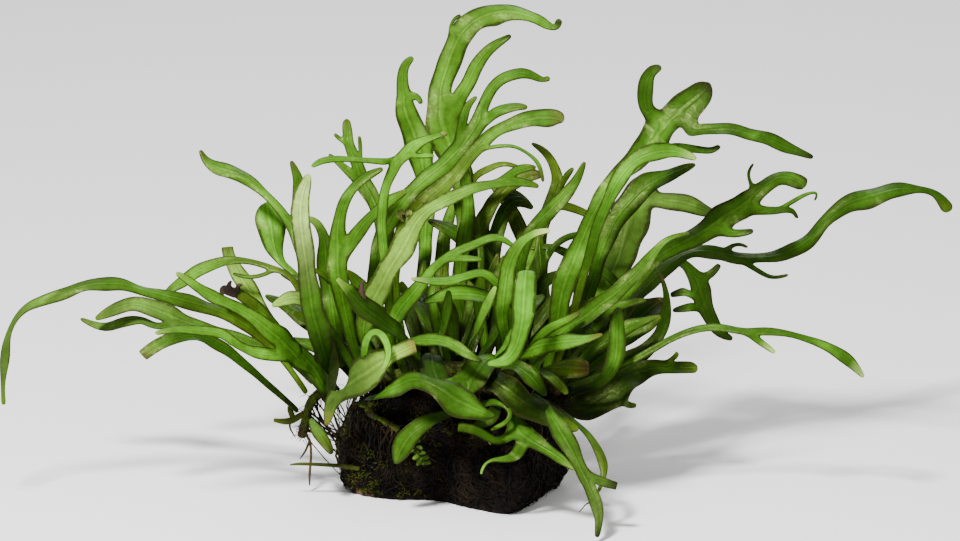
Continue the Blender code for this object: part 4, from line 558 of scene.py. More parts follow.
        (4, 47.6, 19, 1.0), (5.8, 54, 32, 1.3), (8.6, 60.8, 38, 1.6), (11.5, 67.5, 42, 1.7),
        (14, 72.6, 45, 0.8)]),
    "frond_vertical_middle": Leaf([
        (-5, 47.5, 14, 1.0), (-6, 54, 26, 1.6), (-4.2, 60.5, 33, 1.8), (-3, 66.5, 37, 1.7),
        (-3, 71.3, 39, 0.8)]),
    "frond_bright_curl": Leaf([
        (-34, 41.5, 14, 0.9), (-33.5, 45.8, 30, 1.3), (-33, 51, 41, 1.3), (-31.4, 56, 44, 1.4),
        (-28, 56.6, 46, 1.5), (-25.1, 52.6, 48, 1.4), (-24.3, 47.2, 49, 1.3), (-26.6, 42.8, 49, 0.7)]),
    "frond_front_curl": Leaf([
        (0, 35, 28, 1.0), (8, 30.4, 37, 1.3), (13, 31.4, 42, 1.3), (17.2, 30.3, 45, 1.1),
        (19.5, 27.4, 47, 0.9), (18.6, 24.6, 48, 0.9), (15.5, 22.7, 49, 0.9), (12, 21.3, 50, 0.5)]),
    "frond_front_right_small": Leaf([
        (14, 41, 24, 1.0), (18.5, 44.2, 38, 1.6), (22.5, 43.4, 43, 2.5), (26.4, 40.8, 45, 3.1),
        (29.4, 37.6, 46, 2.3), (31.8, 33.4, 47, 0.8)], (
            Leaf([(26, 42, 45, 1.0), (29.4, 45.2, 47, 0.9), (31.8, 48.4, 48, 0.4)]),)),
    "frond_front_grey": Leaf([
        (29, 43, 24, 1.0), (33.4, 40.6, 36, 1.9), (36.6, 37.6, 38, 2.1), (39.6, 34, 39, 0.9)]),
    "frond_front_dark_broad": Leaf([
        (5, 44.4, 26, 1.3), (11, 40.4, 38, 3.8), (18, 35.4, 43, 4.8), (25, 30.6, 45, 4.4),
        (31.6, 26.6, 46, 3.8), (37.6, 23.6, 47, 2.6), (43.4, 21.4, 48, 1.2)]),
    "frond_front_green": Leaf([
        (16, 46.4, 24, 1.2), (12.2, 47.6, 35, 3.2), (8.6, 44, 41, 4.6), (5.6, 40, 44, 4.4),
        (4.2, 36.6, 46, 2.7), (3.8, 33.4, 47, 1.0)], (
            Leaf([(5, 42, 43, 2.0), (-0.6, 39, 45, 1.5), (-4.6, 38.6, 46, 0.6)]),)),
    "frond_front_deep": Leaf([
        (-6, 46.4, 24, 1.2), (-9, 48, 33, 3.2), (-8.4, 43.6, 40, 4.2), (-6.6, 38.8, 44, 4.2),
        (-5, 34, 46, 2.4), (-4, 30.6, 47, 0.9)]),
    "frond_front_dark_tip": Leaf([
        (15.6, 33, 34, 0.9), (13.4, 28, 43, 2.0), (10.6, 24.6, 45, 2.3), (5.8, 22.6, 45, 0.8)]),
    "frond_trailing_second": Leaf([
        (31, 31.8, 28, 0.9), (37, 28, 34, 0.9), (42.5, 23.8, 38, 0.8), (47, 19.5, 43, 1.1),
        (50.5, 14, 48, 1.5), (52.8, 8.6, 52, 1.7), (52.4, 4.4, 54, 0.9), (50.6, -1, 56, 0.6)]),
    "frond_mid_upright": Leaf([
        (3, 46, -5, 1.2), (1, 66, -8, 1.9), (1.4, 80, -10, 2.4), (3, 92, -11, 2.6),
        (4, 103, -12, 2.4), (3, 112, -12, 2.0), (2, 118, -13, 0.8)]),
    "frond_mid_cross": Leaf([
        (20, 45, -6, 1.2), (19.5, 62, -14, 1.8), (15, 76, -17, 2.4), (7, 86, -18, 2.8),
        (-2, 92.4, -18, 2.6), (-8, 95.6, -19, 1.8), (-10.6, 96.4, -19, 0.8)]),
    "frond_mid_fan": Leaf([
        (10, 46, -8, 1.2), (7, 64, -18, 1.8), (6, 80, -22, 2.4), (8, 93, -24, 2.6),
        (13, 103, -25, 2.6), (19, 109, -26, 2.6), (26, 113, -27, 2.2), (31, 112.5, -27, 0.8)]),
    "frond_mid_olive": Leaf([
        (-2, 46, -12, 1.2), (-4, 62, -26, 1.9), (-5.6, 76, -30, 2.4), (-5, 88, -33, 2.6),
        (-3, 97, -35, 2.2), (-1, 104, -36, 0.8)]),
    "frond_mid_dark": Leaf([
        (6, 45, -10, 1.2), (4, 60, -24, 1.9), (8, 72, -30, 2.6), (9.5, 84, -33, 2.8),
        (9.6, 96, -36, 2.4), (14, 105, -38, 2.2), (20.5, 106, -39, 2.0), (27, 101.6, -40, 0.7)]),
    "frond_mid_arc": Leaf([
        (31, 43, -4, 1.0), (33, 62, -14, 1.4), (30.5, 80, -20, 1.6), (31, 92.4, -22, 1.7),
        (35.5, 101.4, -24, 1.6), (41.5, 101, -25, 1.5), (49.5, 97.4, -26, 1.2)]),
    "frond_mid_band": Leaf([
        (38, 40, -6, 1.2), (58, 62, -8, 1.5), (58, 72, -8, 1.7), (52.5, 78.4, -8, 1.7),
        (46, 83.8, -7, 1.7), (39.5, 84.4, -7, 1.6), (33.5, 87, -8, 1.2), (26, 86, -8, 0.5)]),
    "frond_mid_left": Leaf([
        (-30, 42, 0, 1.2), (-33, 58, -6, 2.2), (-30.6, 72, -10, 2.6), (-26.6, 84, -12, 2.4),
        (-24.6, 94, -13, 2.2), (-21, 101, -14, 2.0), (-14, 106, -14, 0.9)]),
    "frond_mid_purple": Leaf([
        (39, 41, 10, 0.9), (41, 58, 8, 1.1), (43, 70, 7, 1.1), (44.4, 78, 7, 1.0),
        (46, 79.6, 7, 0.8), (47, 77.6, 7, 0.7)]),
    "frond_back_middle_low": Leaf([
        (9, 42.8, -15, 1.2), (12, 47, -32, 2.2), (15, 44, -52, 3.0), (17, 36, -70, 2.4),
        (18, 28, -82, 0.8)]),
}

LOOKS = {
    # frond_tall_pale: its pale ash end is partly its own pale grey-green, partly painted whitish sheen.
    "frond_tall_pale": Look("leaf_pale", "deep", "green", "ash", "ash"),
    "frond_left_bright": Look("leaf_bright", "leaf", "bright", "bright", "pale"),
    "frond_left_dark_short": Look("leaf_middle", "leaf", "leaf", "olive", "dusk"),
    "frond_left_long_arch": Look("leaf_middle", "olive", "green", "grey", "olive"),
    "frond_left_thin": Look("leaf_middle", "leaf", "olive", "bright", "leaf"),
    "frond_left_pale_low": Look("leaf_pale", "leaf", "green", "grey", "olive"),
    "frond_left_cut": Look("leaf_middle", "dark", "leaf", "leaf", "brown"),
    "frond_left_grey_flap": Look("leaf_pale", "grey", "grey", "olive", "dusk"),
    "frond_left_pale_tip": Look("leaf_pale", "leaf", "green", "pale", "olive"),
    "frond_upper_left_hook": Look("leaf_middle", "deep", "green", "bright", "brown"),
    # frond_upper_left_round: its bright and lime greens are partly painted light coming through the blade,
    # over its own green.
    "frond_upper_left_round": Look("leaf_middle", "rust", "bright", "lime", "lime"),
    "frond_left_low_leaf": Look("leaf_middle", "deep", "leaf", "green", "green"),
    "frond_left_base_dark": Look("leaf_dark", "black_green", "dark", "deep", "leaf"),
    "frond_mid_small": Look("leaf_bright", "leaf", "fresh", "bright", "brown"),
    "frond_left_small_pale": Look("leaf_pale", "leaf", "green", "pale", "pale"),
    "frond_left_short_dark": Look("leaf_middle", "leaf", "green", "green", "pale"),
    "frond_bright_vertical": Look("leaf_bright", "green", "fresh", "bright", "lime"),
    "frond_antler": Look("leaf_middle", "deep", "green", "bright", "olive"),
    "frond_middle_left": Look("leaf_middle", "leaf", "bright", "green", "olive"),
    "frond_long_pale_arc": Look("leaf_pale", "green", "pale", "fresh", "olive"),
    "frond_second_arc": Look("leaf_bright", "leaf", "fresh", "fresh", "leaf"),
    "frond_top_left": Look("leaf_bright", "green", "fresh", "bright", "green"),
    "frond_top_main": Look("leaf_middle", "green", "bright", "bright", "dusk"),
    "frond_top_right": Look("leaf_middle", "deep", "green", "fresh", "olive"),
    "frond_top_right_low": Look("leaf_middle", "green", "olive", "green", "brown"),
    "frond_thin_arch": Look("leaf_dark", "deep", "leaf", "olive", "brown"),
    "frond_dark_middle": Look("leaf_dark", "deep", "leaf", "deep", "olive"),
    "frond_dark_crossing": Look("leaf_dark", "deep", "deep", "olive", "olive"),
    "frond_dark_vertical": Look("leaf_dark", "green", "deep", "leaf", "olive"),
    "frond_tongue": Look("leaf_bright", "green", "fresh", "lime", "ash"),
    "frond_band": Look("leaf_bright", "green", "fresh", "fresh", "leaf"),
    "frond_light_middle": Look("leaf_pale", "green", "fresh", "bright", "cream"),
    "frond_thin_middle": Look("leaf_middle", "green", "green", "bright", "pale"),
    "frond_right_green": Look("leaf_middle", "green", "leaf", "green", "olive"),
    "frond_brown_tip": Look("leaf_middle", "leaf", "green", "olive", "dusk"),
    "frond_bright_drooping": Look("leaf_bright", "fresh", "lime", "lime", "lime"),
    "frond_diagonal_dark": Look("leaf_dark", "leaf", "deep", "leaf", "pale"),
    "frond_vertical_middle": Look("leaf_bright", "fresh", "green", "green", "leaf"),
    "frond_bright_left_arch": Look("leaf_bright", "fresh", "fresh", "bright", "dusk"),
    "frond_bright_curl": Look("leaf_bright", "green", "lime", "lime", "pale"),
    "frond_pale_ragged": Look("leaf_pale", "grey", "grey", "pale", "rust"),
    "frond_front_arch": Look("leaf_middle", "green", "green", "leaf", "dark"),
    "frond_front_drooping": Look("leaf_middle", "deep", "leaf", "green", "dusk"),
    "plantlet": Look("leaf_middle", "olive", "olive", "grey", "grey"),
    "frond_front_curl": Look("leaf_middle", "dark", "leaf", "leaf", "olive"),
    "frond_front_star": Look("leaf_middle", "dark", "leaf", "fresh", "pale"),
    "frond_front_right_small": Look("leaf_dark", "olive", "deep", "leaf", "dark"),
    "frond_trailing": Look("leaf_pale", "leaf", "green", "grey", "dusk"),
    "frond_front_grey": Look("leaf_pale", "leaf", "grey", "grey", "olive"),
    "frond_front_dark_broad": Look("leaf_dark", "black_green", "black_green", "dark", "olive"),
    "frond_front_green": Look("leaf_middle", "deep", "leaf", "leaf", "leaf"),
    "frond_front_deep": Look("leaf_dark", "deep", "deep", "deep", "leaf"),
    "frond_front_dark_tip": Look("leaf_dark", "dark", "dark", "deep", "deep"),
    "frond_trailing_second": Look("leaf_dark", "dark", "deep", "olive", "olive"),
    "frond_right_pale_short": Look("leaf_pale", "green", "bright", "lime", "rust"),
    "frond_right_brown_ragged": Look("leaf_dark", "leaf", "olive", "olive", "rust"),
    "frond_right_striped": Look("leaf_middle", "green", "green", "green", "olive"),
    "frond_right_tall": Look("leaf_middle", "green", "fresh", "leaf", "dusk"),
    "frond_right_hook": Look("leaf_bright", "olive", "leaf", "lime", "ash"),
    "frond_right_second": Look("leaf_middle", "deep", "leaf", "leaf", "olive"),
    "frond_right_broad": Look("leaf_pale", "dark", "leaf", "grey", "brown"),
    "frond_right_forked": Look("leaf_middle", "deep", "green", "green", "dusk"),
    "frond_far_right": Look("leaf_dark", "dark", "deep", "leaf", "olive"),
    "frond_right_drooping": Look("leaf_dark", "dark", "deep", "leaf", "dusk"),
    "frond_right_low": Look("leaf_middle", "dark", "leaf", "green", "ash"),
    "frond_right_low_broad": Look("leaf_dark", "black_green", "dark", "dark", "olive"),
    "frond_right_upright": Look("leaf_dark", "deep", "dark", "deep", "brown"),
    "frond_right_mid_vertical": Look("leaf_middle", "dark", "deep", "leaf", "deep"),
    "frond_right_dark_broad": Look("leaf_dark", "dark", "dark", "deep", "brown"),
    "frond_back_left": Look("leaf_middle", "deep", "leaf", "leaf", "brown"),
    "frond_back_left_low": Look("leaf_middle", "deep", "leaf", "green", "brown"),
    "frond_back_middle": Look("leaf_middle", "deep", "leaf", "green", "brown"),
    "frond_mid_upright": Look("leaf_middle", "leaf", "green", "green", "pale"),
    "frond_mid_cross": Look("leaf_dark", "deep", "deep", "leaf", "brown"),
    "frond_mid_fan": Look("leaf_middle", "leaf", "leaf", "olive", "brown"),
    "frond_mid_olive": Look("leaf_middle", "deep", "olive", "green", "olive"),
    "frond_mid_dark": Look("leaf_dark", "dark", "deep", "deep", "olive"),
    "frond_mid_arc": Look("leaf_dark", "dark", "deep", "olive", "olive"),
    "frond_mid_band": Look("leaf_dark", "dark", "deep", "leaf", "olive"),
    "frond_mid_left": Look("leaf_middle", "deep", "leaf", "green", "olive"),
    "frond_mid_purple": Look("leaf_dark", "dark", "dark", "deep", "dusk"),
    "frond_back_middle_low": Look("leaf_middle", "deep", "leaf", "leaf", "dusk"),
    "frond_back_right": Look("leaf_middle", "deep", "leaf", "green", "dusk"),
    "frond_back_right_low": Look("leaf_dark", "dark", "deep", "leaf", "brown"),
}


# ------------------------------------------------------------------------ the tools

def board(across, up, toward):
    """A place on the leaning board, mm, as a point in metres."""
    return (across * ACROSS + up * UP + toward * TOWARD) * MM


def between(low, high, share):
    """The number that lies a share of the way from low to high."""
    return low + (high - low) * share


def mix(a, b, share):
    """The row of numbers that lies a share of the way from row a to row b."""
    return tuple(between(x, y, share) for x, y in zip(a, b))


def ramp(value, low, high):
    """0 at low, 1 at high, straight between."""
    return min(max((value - low) / (high - low), 0), 1)


def flattened(direction, normal):
    """The direction with its part along the normal taken out."""
    return (direction - normal * direction.dot(normal)).normalized()


def tapered(thick, loss, count):
    """Radii that lose a share of their thickness along a root."""
    return [thick * (1 - loss * i / count) for i in range(count)]


def scatter(chance, lowest=-1, highest=1):
    """A random vector with its z between two limits; equal limits give z without a draw."""
    x = chance.uniform(-1, 1)
    y = chance.uniform(-1, 1)
    z = lowest if lowest == highest else chance.uniform(lowest, highest)
    return Vector((x, y, z))


def smooth(points, steps=8, closed=False):
    """A dense row along the smooth (Catmull-Rom) curve through the points."""
    last = len(points) - 1
    dense = []
    for i in range(len(points) if closed else last):
        if closed:
            p0, p1, p2, p3 = (points[(i + k) % len(points)] for k in (-1, 0, 1, 2))
        else:
            p0, p1, p2, p3 = (points[min(max(i + k, 0), last)] for k in (-1, 0, 1, 2))
        for step in range(steps):
            t = step / steps
            dense.append(tuple(
                0.5 * (2 * b + (c - a) * t + (2 * a - 5 * b + 4 * c - d) * t * t
                       + (3 * b - a - 3 * c + d) * t ** 3)
                for a, b, c, d in zip(p0, p1, p2, p3)))
    if not closed:
        dense.append(tuple(points[-1]))
    return dense


class Axis:
    """The smooth axis of a blade, read at any distance from its base (mm)."""

    def __init__(self, points):
        """Measures the curve through (across, up, toward, half-width) points."""
        self.rows = smooth(points)
        self.places = [Vector(row[:3]) for row in self.rows]
        self.distances = [0.0]
        for a, b in zip(self.places, self.places[1:]):
            self.distances.append(self.distances[-1] + (b - a).length)
        self.length = self.distances[-1]

    def row(self, distance):
        """across, up, toward and half-width at a distance."""
        for i in range(len(self.distances) - 1):
            if distance <= self.distances[i + 1]:
                span = self.distances[i + 1] - self.distances[i]
                return mix(self.rows[i], self.rows[i + 1], (distance - self.distances[i]) / span)
        return self.rows[-1]

    def tangent(self, distance):
        """The direction of growth at a distance."""
        ahead = board(*self.row(min(distance + 1, self.length))[:3])
        behind = board(*self.row(max(distance - 1, 0))[:3])
        return (ahead - behind).normalized()

    def nearest(self, place):
        """The distance along the axis of its point nearest to a place."""
        gaps = [(p - place).length for p in self.places]
        return self.distances[gaps.index(min(gaps))]


class Wave:
    """A smooth irregular wave between -1 and 1 along a length in mm."""

    def __init__(self, chance):
        """Draws the pace and the phase of a slow and a fast part."""
        self.parts = [(chance.uniform(low, high), chance.uniform(0, 2 * math.pi))
                      for low, high in WAVE_PACES]

    def at(self, distance):
        """The wave's height at a distance."""
        (slow, phase), (fast, other) = self.parts
        return (SLOW_WAVE_SHARE * math.sin(distance / slow + phase)
                + (1 - SLOW_WAVE_SHARE) * math.sin(distance / fast + other))


def new_piece(name, vertices, faces, material, stands_for=None):
    """A smooth-shaded piece that rides with the plant."""
    mesh = bpy.data.meshes.new(name)
    mesh.from_pydata(vertices, [], faces)
    mesh.validate()
    mesh.shade_smooth()
    mesh.materials.append(material)
    piece = bpy.data.objects.new(name, mesh)
    bpy.context.collection.objects.link(piece)
    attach(piece, "root")
    if stands_for is not None:
        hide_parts(stands_for)
    return piece


def give_values(mesh, name, values):
    """A number at each point of the mesh, for its material to read."""
    mesh.attributes.new(name, "FLOAT", "POINT").data.foreach_set("value", values)


def give_colours(mesh, name, colours):
    """A colour at each point of the mesh, for its material to read."""
    flat = [part for tint in colours for part in (*tint, 1.0)]
    mesh.attributes.new(name, "FLOAT_COLOR", "POINT").data.foreach_set("color", flat)


def subdivide(piece, levels):
    """A subdivision surface, the same in the render as in the viewport."""
    surface = piece.modifiers.new("smooth", "SUBSURF")
    surface.levels = levels
    surface.render_levels = levels


class Tubes:
    """Many thin closed tubes gathered into one mesh."""

    FIRST_SIDE = Vector((0.31, 0.52, 0.79))     # no tube sets out in this direction

    def __init__(self):
        """Starts with none."""
        self.vertices = []
        self.faces = []
        self.along = []

    def add(self, places, radii, sides=4):
        """A tube along places (metres) with a radius (metres) at each; ends are closed."""
        side = self.FIRST_SIDE
        rings = []
        for i, (place, radius) in enumerate(zip(places, radii)):
            tangent = (places[min(i + 1, len(places) - 1)] - places[max(i - 1, 0)]).normalized()
            side = flattened(side, tangent)
            other = tangent.cross(side)
            start = len(self.vertices)
            for k in range(sides):
                turn = 2 * math.pi * k / sides
                out = side * math.cos(turn) + other * math.sin(turn)
                self.vertices.append(place + out * radius)
                self.along.append(i / (len(places) - 1))
            rings.append(range(start, start + sides))
        self.faces.append(tuple(reversed(rings[0])))
        self.faces.append(tuple(rings[-1]))
        for a, b in zip(rings, rings[1:]):
            for k in range(sides):
                n = (k + 1) % sides
                self.faces.append((a[k], a[n], b[n], b[k]))

    def piece(self, name, material, slot):
        """The tubes as one piece."""
        made = new_piece(name, self.vertices, self.faces, material)
        give_values(made.data, "along", self.along)
        return made


# ---------------------------------------------------------------------- the materials

class Nodes:
    """A material's node tree, built a step at a time."""

    def __init__(self, name):
        """A material with a Principled shader."""
        self.material = bpy.data.materials.new(name)
        self.material.use_nodes = True
        self.tree = self.material.node_tree
        self.shader = self.tree.nodes["Principled BSDF"]
        self.coordinates = self.tree.nodes.new("ShaderNodeTexCoord").outputs["Object"]

    def link(self, source, socket):
        """Joins a node's output to an input, or sets the input to a plain value."""
        if isinstance(source, bpy.types.NodeSocket):
            self.tree.links.new(source, socket)
        else:
            socket.default_value = source

    def attribute(self, name, output="Fac"):
        """A number or colour that the mesh holds at each point."""
        node = self.tree.nodes.new("ShaderNodeAttribute")
        node.attribute_name = name
        return node.outputs[output]

    def noise(self, scale, detail=3.0, stretch=None):
        """Soft noise from 0 to 1 with so many cells to the metre."""
        node = self.tree.nodes.new("ShaderNodeTexNoise")
        node.inputs["Scale"].default_value = scale
        node.inputs["Detail"].default_value = detail
        source = self.coordinates
        if stretch is not None:
            mapping = self.tree.nodes.new("ShaderNodeMapping")
            mapping.inputs["Scale"].default_value = stretch
            self.tree.links.new(source, mapping.inputs["Vector"])
            source = mapping.outputs["Vector"]
        self.tree.links.new(source, node.inputs["Vector"])
        return node.outputs["Fac"]

    def cells(self, scale, feature="F1"):
        """The distance to a cell's middle, or to its border."""
        node = self.tree.nodes.new("ShaderNodeTexVoronoi")
        node.feature = feature
        node.inputs["Scale"].default_value = scale
        self.tree.links.new(self.coordinates, node.inputs["Vector"])
        return node.outputs["Distance"]

    def spread(self, value, low, high, to_low=0.0, to_high=1.0):
        """A value from low to high taken over to another range and held there."""
        node = self.tree.nodes.new("ShaderNodeMapRange")
        self.link(value, node.inputs["Value"])
        node.inputs["From Min"].default_value = low
        node.inputs["From Max"].default_value = high
        node.inputs["To Min"].default_value = to_low
        node.inputs["To Max"].default_value = to_high
        return node.outputs["Result"]

    def varied(self, scale, detail, low, high):
        """A number that wanders between low and high over the surface."""
        return self.spread(self.noise(scale, detail), *NOISE_RANGE, low, high)

    def maths(self, operation, first, second):
        """Two numbers added, subtracted or multiplied."""
        node = self.tree.nodes.new("ShaderNodeMath")
        node.operation = operation
        self.link(first, node.inputs[0])
        self.link(second, node.inputs[1])
        return node.outputs["Value"]

    def blend(self, share, first, second):
        """The first colour turned into the second by a share."""
        node = self.tree.nodes.new("ShaderNodeMix")
        node.data_type = "RGBA"
        self.link(share, node.inputs["Factor"])
        for tint, socket in ((first, node.inputs[6]), (second, node.inputs[7])):
            self.link(tint if isinstance(tint, bpy.types.NodeSocket) else (*tint, 1), socket)
        return node.outputs[2]

    def brighten(self, tint, value, saturation=1.0):
        """A colour made brighter or darker by a factor."""
        node = self.tree.nodes.new("ShaderNodeHueSaturation")
        self.link(tint, node.inputs["Color"])
        self.link(value, node.inputs["Value"])
        self.link(saturation, node.inputs["Saturation"])
        return node.outputs["Color"]

    def bump(self, height, strength, distance):
        """Relief from a height, with its depth in metres."""
        node = self.tree.nodes.new("ShaderNodeBump")
        node.inputs["Strength"].default_value = strength
        node.inputs["Distance"].default_value = distance
        self.link(height, node.inputs["Height"])
        self.link(node.outputs["Normal"], self.shader.inputs["Normal"])

    def finish(self, tint, roughness, specular=0.1):
        """Sets the shader and gives the material."""
        self.link(tint, self.shader.inputs["Base Color"])
        self.link(roughness, self.shader.inputs["Roughness"])
        self.shader.inputs["Specular IOR Level"].default_value = specular
        return self.material


def clouded(skin, kind, edge, tint):
    """Cloudy patches of painted shade and painted light, and bright patches of painted light coming through
    the blade.
    """
    clouds = skin.noise(CLOUD_CELLS, 3)
    # Painted shade and painted light in cloudy patches.
    tint = skin.brighten(tint, skin.spread(clouds, 0.34, 0.66, *CLOUD_SHADE_AND_LIGHT))
    # Painted light coming through the blade, in the brighter cloud patches and away from its margin.
    thin = skin.maths("MULTIPLY", skin.spread(clouds, 0.52, 0.70), skin.spread(edge, 0.75, 0.35))
    tint = skin.blend(skin.maths("MULTIPLY", thin, kind.thin), tint, LIGHT_THROUGH_COLOUR)
    blotches = skin.varied(BLOTCH_CELLS, 4, *BLOTCH_TONES)
    grain = skin.varied(GRAIN_CELLS, 2, 1 - kind.speckle, 1 + kind.speckle)
    return skin.brighten(tint, skin.maths("MULTIPLY", blotches, grain))


def veined(skin, veins, ridge, rib, tint):
    """The net of veins, the midrib, lighter partly in its own colour and partly from painted highlight, and
    painted shade in the two grooves beside it.
    """
    tint = skin.brighten(tint, skin.spread(veins, 0.0, 0.10, VEIN_TONE, 1.0))
    # The midrib lighter: partly its own paler colour, partly painted highlight.
    tint = skin.brighten(tint, skin.spread(ridge, 0.0, 1.0, 1.0, RIB_TONE_AND_HIGHLIGHT), 0.95)
    # Painted shade in the grooves beside the midrib.
    groove = skin.maths("SUBTRACT", skin.spread(rib, 0.66, 0.82), ridge)
    return skin.brighten(tint, skin.spread(groove, 0.0, 1.0, 1.0, GROOVE_SHADE))


def spots_and_shaded_margin(skin, kind, edge, tint):
    """Brown spots in some places, painted shade that darkens the blade towards its margin, and the dark rim,
    partly its own colour and partly painted shade.
    """
    dots = skin.spread(skin.cells(SPOT_CELLS), 0.10, 0.22, 1.0, 0.0)
    spotted = skin.spread(skin.noise(SPOTTED_PATCH_CELLS, 2), 0.48, 0.60)
    dots = skin.maths("MULTIPLY", skin.maths("MULTIPLY", dots, spotted), kind.spots)
    tint = skin.blend(dots, tint, SPOT_COLOUR)
    # Painted shade: the blade grows darker towards its margin.
    tint = skin.brighten(tint, skin.spread(edge, 0.45, 0.95, 1.0, MARGIN_SHADE))
    # The dark rim, partly the margin's own colour and partly painted shade.
    wander = skin.varied(MARGIN_CELLS, 3, -MARGIN_WANDER, MARGIN_WANDER)
    margin = skin.spread(skin.maths("ADD", edge, wander), 0.80, 0.98, 0.0, MARGIN_STRENGTH)
    return skin.blend(margin, tint, MARGIN_COLOUR)


def leaf_material(name, kind):
    """A leaf's skin: cloudy painted shade and painted light, net of veins, midrib with painted highlight and
    painted shade in its grooves, dark margin that is partly painted shade, specks.
    """
    skin = Nodes(name)
    edge = skin.attribute("edge")
    rib = skin.attribute("rib")
    veins = skin.cells(VEIN_CELLS, "DISTANCE_TO_EDGE")
    ridge = skin.spread(rib, 0.84, 0.97)
    tint = clouded(skin, kind, edge, skin.attribute("tint", "Color"))
    tint = veined(skin, veins, ridge, rib, tint)
    tint = spots_and_shaded_margin(skin, kind, edge, tint)

    wrinkles = skin.maths("MULTIPLY", skin.noise(WRINKLE_CELLS, 3), WRINKLE_HEIGHT)
    raised_rib = skin.maths("MULTIPLY", ridge, RIB_HEIGHT)
    relief = skin.maths("ADD", skin.spread(veins, 0.0, 0.2, 0.0, VEIN_HEIGHT), raised_rib)
    skin.bump(skin.maths("ADD", relief, wrinkles), 0.45, LEAF_RELIEF * MM)
    roughness = skin.varied(GLOSS_CELLS, 3, kind.smoothest, kind.smoothest + ROUGHNESS_RANGE)
    skin.shader.inputs["Specular Tint"].default_value = (*LEAF_SHINE, 1)
    return skin.finish(tint, roughness, kind.specular)


def rhizome_material():
    """Creeping stem: olive and brown, scaly."""
    skin = Nodes("rhizome skin")
    tint = skin.blend(skin.spread(skin.noise(STEM_PATCH_CELLS, 4), 0.4, 0.6), *STEM_COLOURS)
    scales = skin.cells(STEM_SCALE_CELLS)
    tint = skin.brighten(tint, skin.spread(scales, 0.1, 0.6, 1.25, 0.6))
    skin.bump(skin.spread(scales, 0.0, 0.7, 1.0, 0.0), 0.7, STEM_RELIEF * MM)
    return skin.finish(tint, skin.varied(STEM_GLOSS_CELLS, 3, *STEM_ROUGHNESS))


def wood_material():
    """Wet bark: nearly black, with a bare pinkish patch low on the left of the front."""
    bark = Nodes("bark")
    grain = bark.noise(BARK_CELLS, 6, BARK_STRETCH)
    tint = bark.blend(bark.spread(grain, 0.35, 0.68), *BARK_COLOURS)
    ragged = bark.spread(bark.noise(BARE_EDGE_CELLS, 4), 0.36, 0.52)
    bare = bark.maths("MULTIPLY", bark.attribute("bare"), ragged)
    tint = bark.blend(bare, tint, BARE_WOOD_COLOUR)
    green = bark.spread(bark.noise(WOOD_MOSS_CELLS, 4), 0.55, 0.7, 0.0, 0.6)
    green = bark.maths("MULTIPLY", green, bark.attribute("mossy"))
    tint = bark.blend(green, tint, WOOD_MOSS_COLOUR)
    bark.bump(bark.maths("ADD", grain, bark.noise(BARK_BUMP_CELLS, 4)), 0.9, BARK_RELIEF * MM)
    return bark.finish(tint, bark.spread(grain, *NOISE_RANGE, *BARK_ROUGHNESS))


def root_material(name, colours):
    """Fine roots: dark brown with lighter stretches."""
    skin = Nodes(name)
    tint = skin.blend(skin.spread(skin.noise(ROOT_PATCH_CELLS, 3), 0.42, 0.66), *colours)
    tint = skin.brighten(tint, skin.varied(ROOT_SPECK_CELLS, 2, 0.7, 1.3))
    skin.bump(skin.noise(ROOT_BUMP_CELLS, 2), 0.5, FINE_RELIEF * MM)
    return skin.finish(tint, skin.varied(ROOT_GLOSS_CELLS, 3, *ROOT_ROUGHNESS))


def moss_material():
    """Moss: olive, yellower at the tips of its shoots."""
    skin = Nodes("moss")
    tint = skin.blend(skin.spread(skin.noise(MOSS_PATCH_CELLS, 3), 0.35, 0.65), *MOSS_COLOURS)
    tint = skin.blend(skin.spread(skin.attribute("along"), 0.55, 1.0), tint, MOSS_TIP_COLOUR)
    skin.bump(skin.noise(MOSS_BUMP_CELLS, 2), 0.4, FINE_RELIEF * MM)
    return skin.finish(tint, skin.varied(MOSS_GLOSS_CELLS, 3, *MOSS_ROUGHNESS))


# ------------------------------------------------------------------------ the fronds

Root = namedtuple("Root", "ring side")
Fork = namedtuple("Fork", "low middle high own start lobes outward")


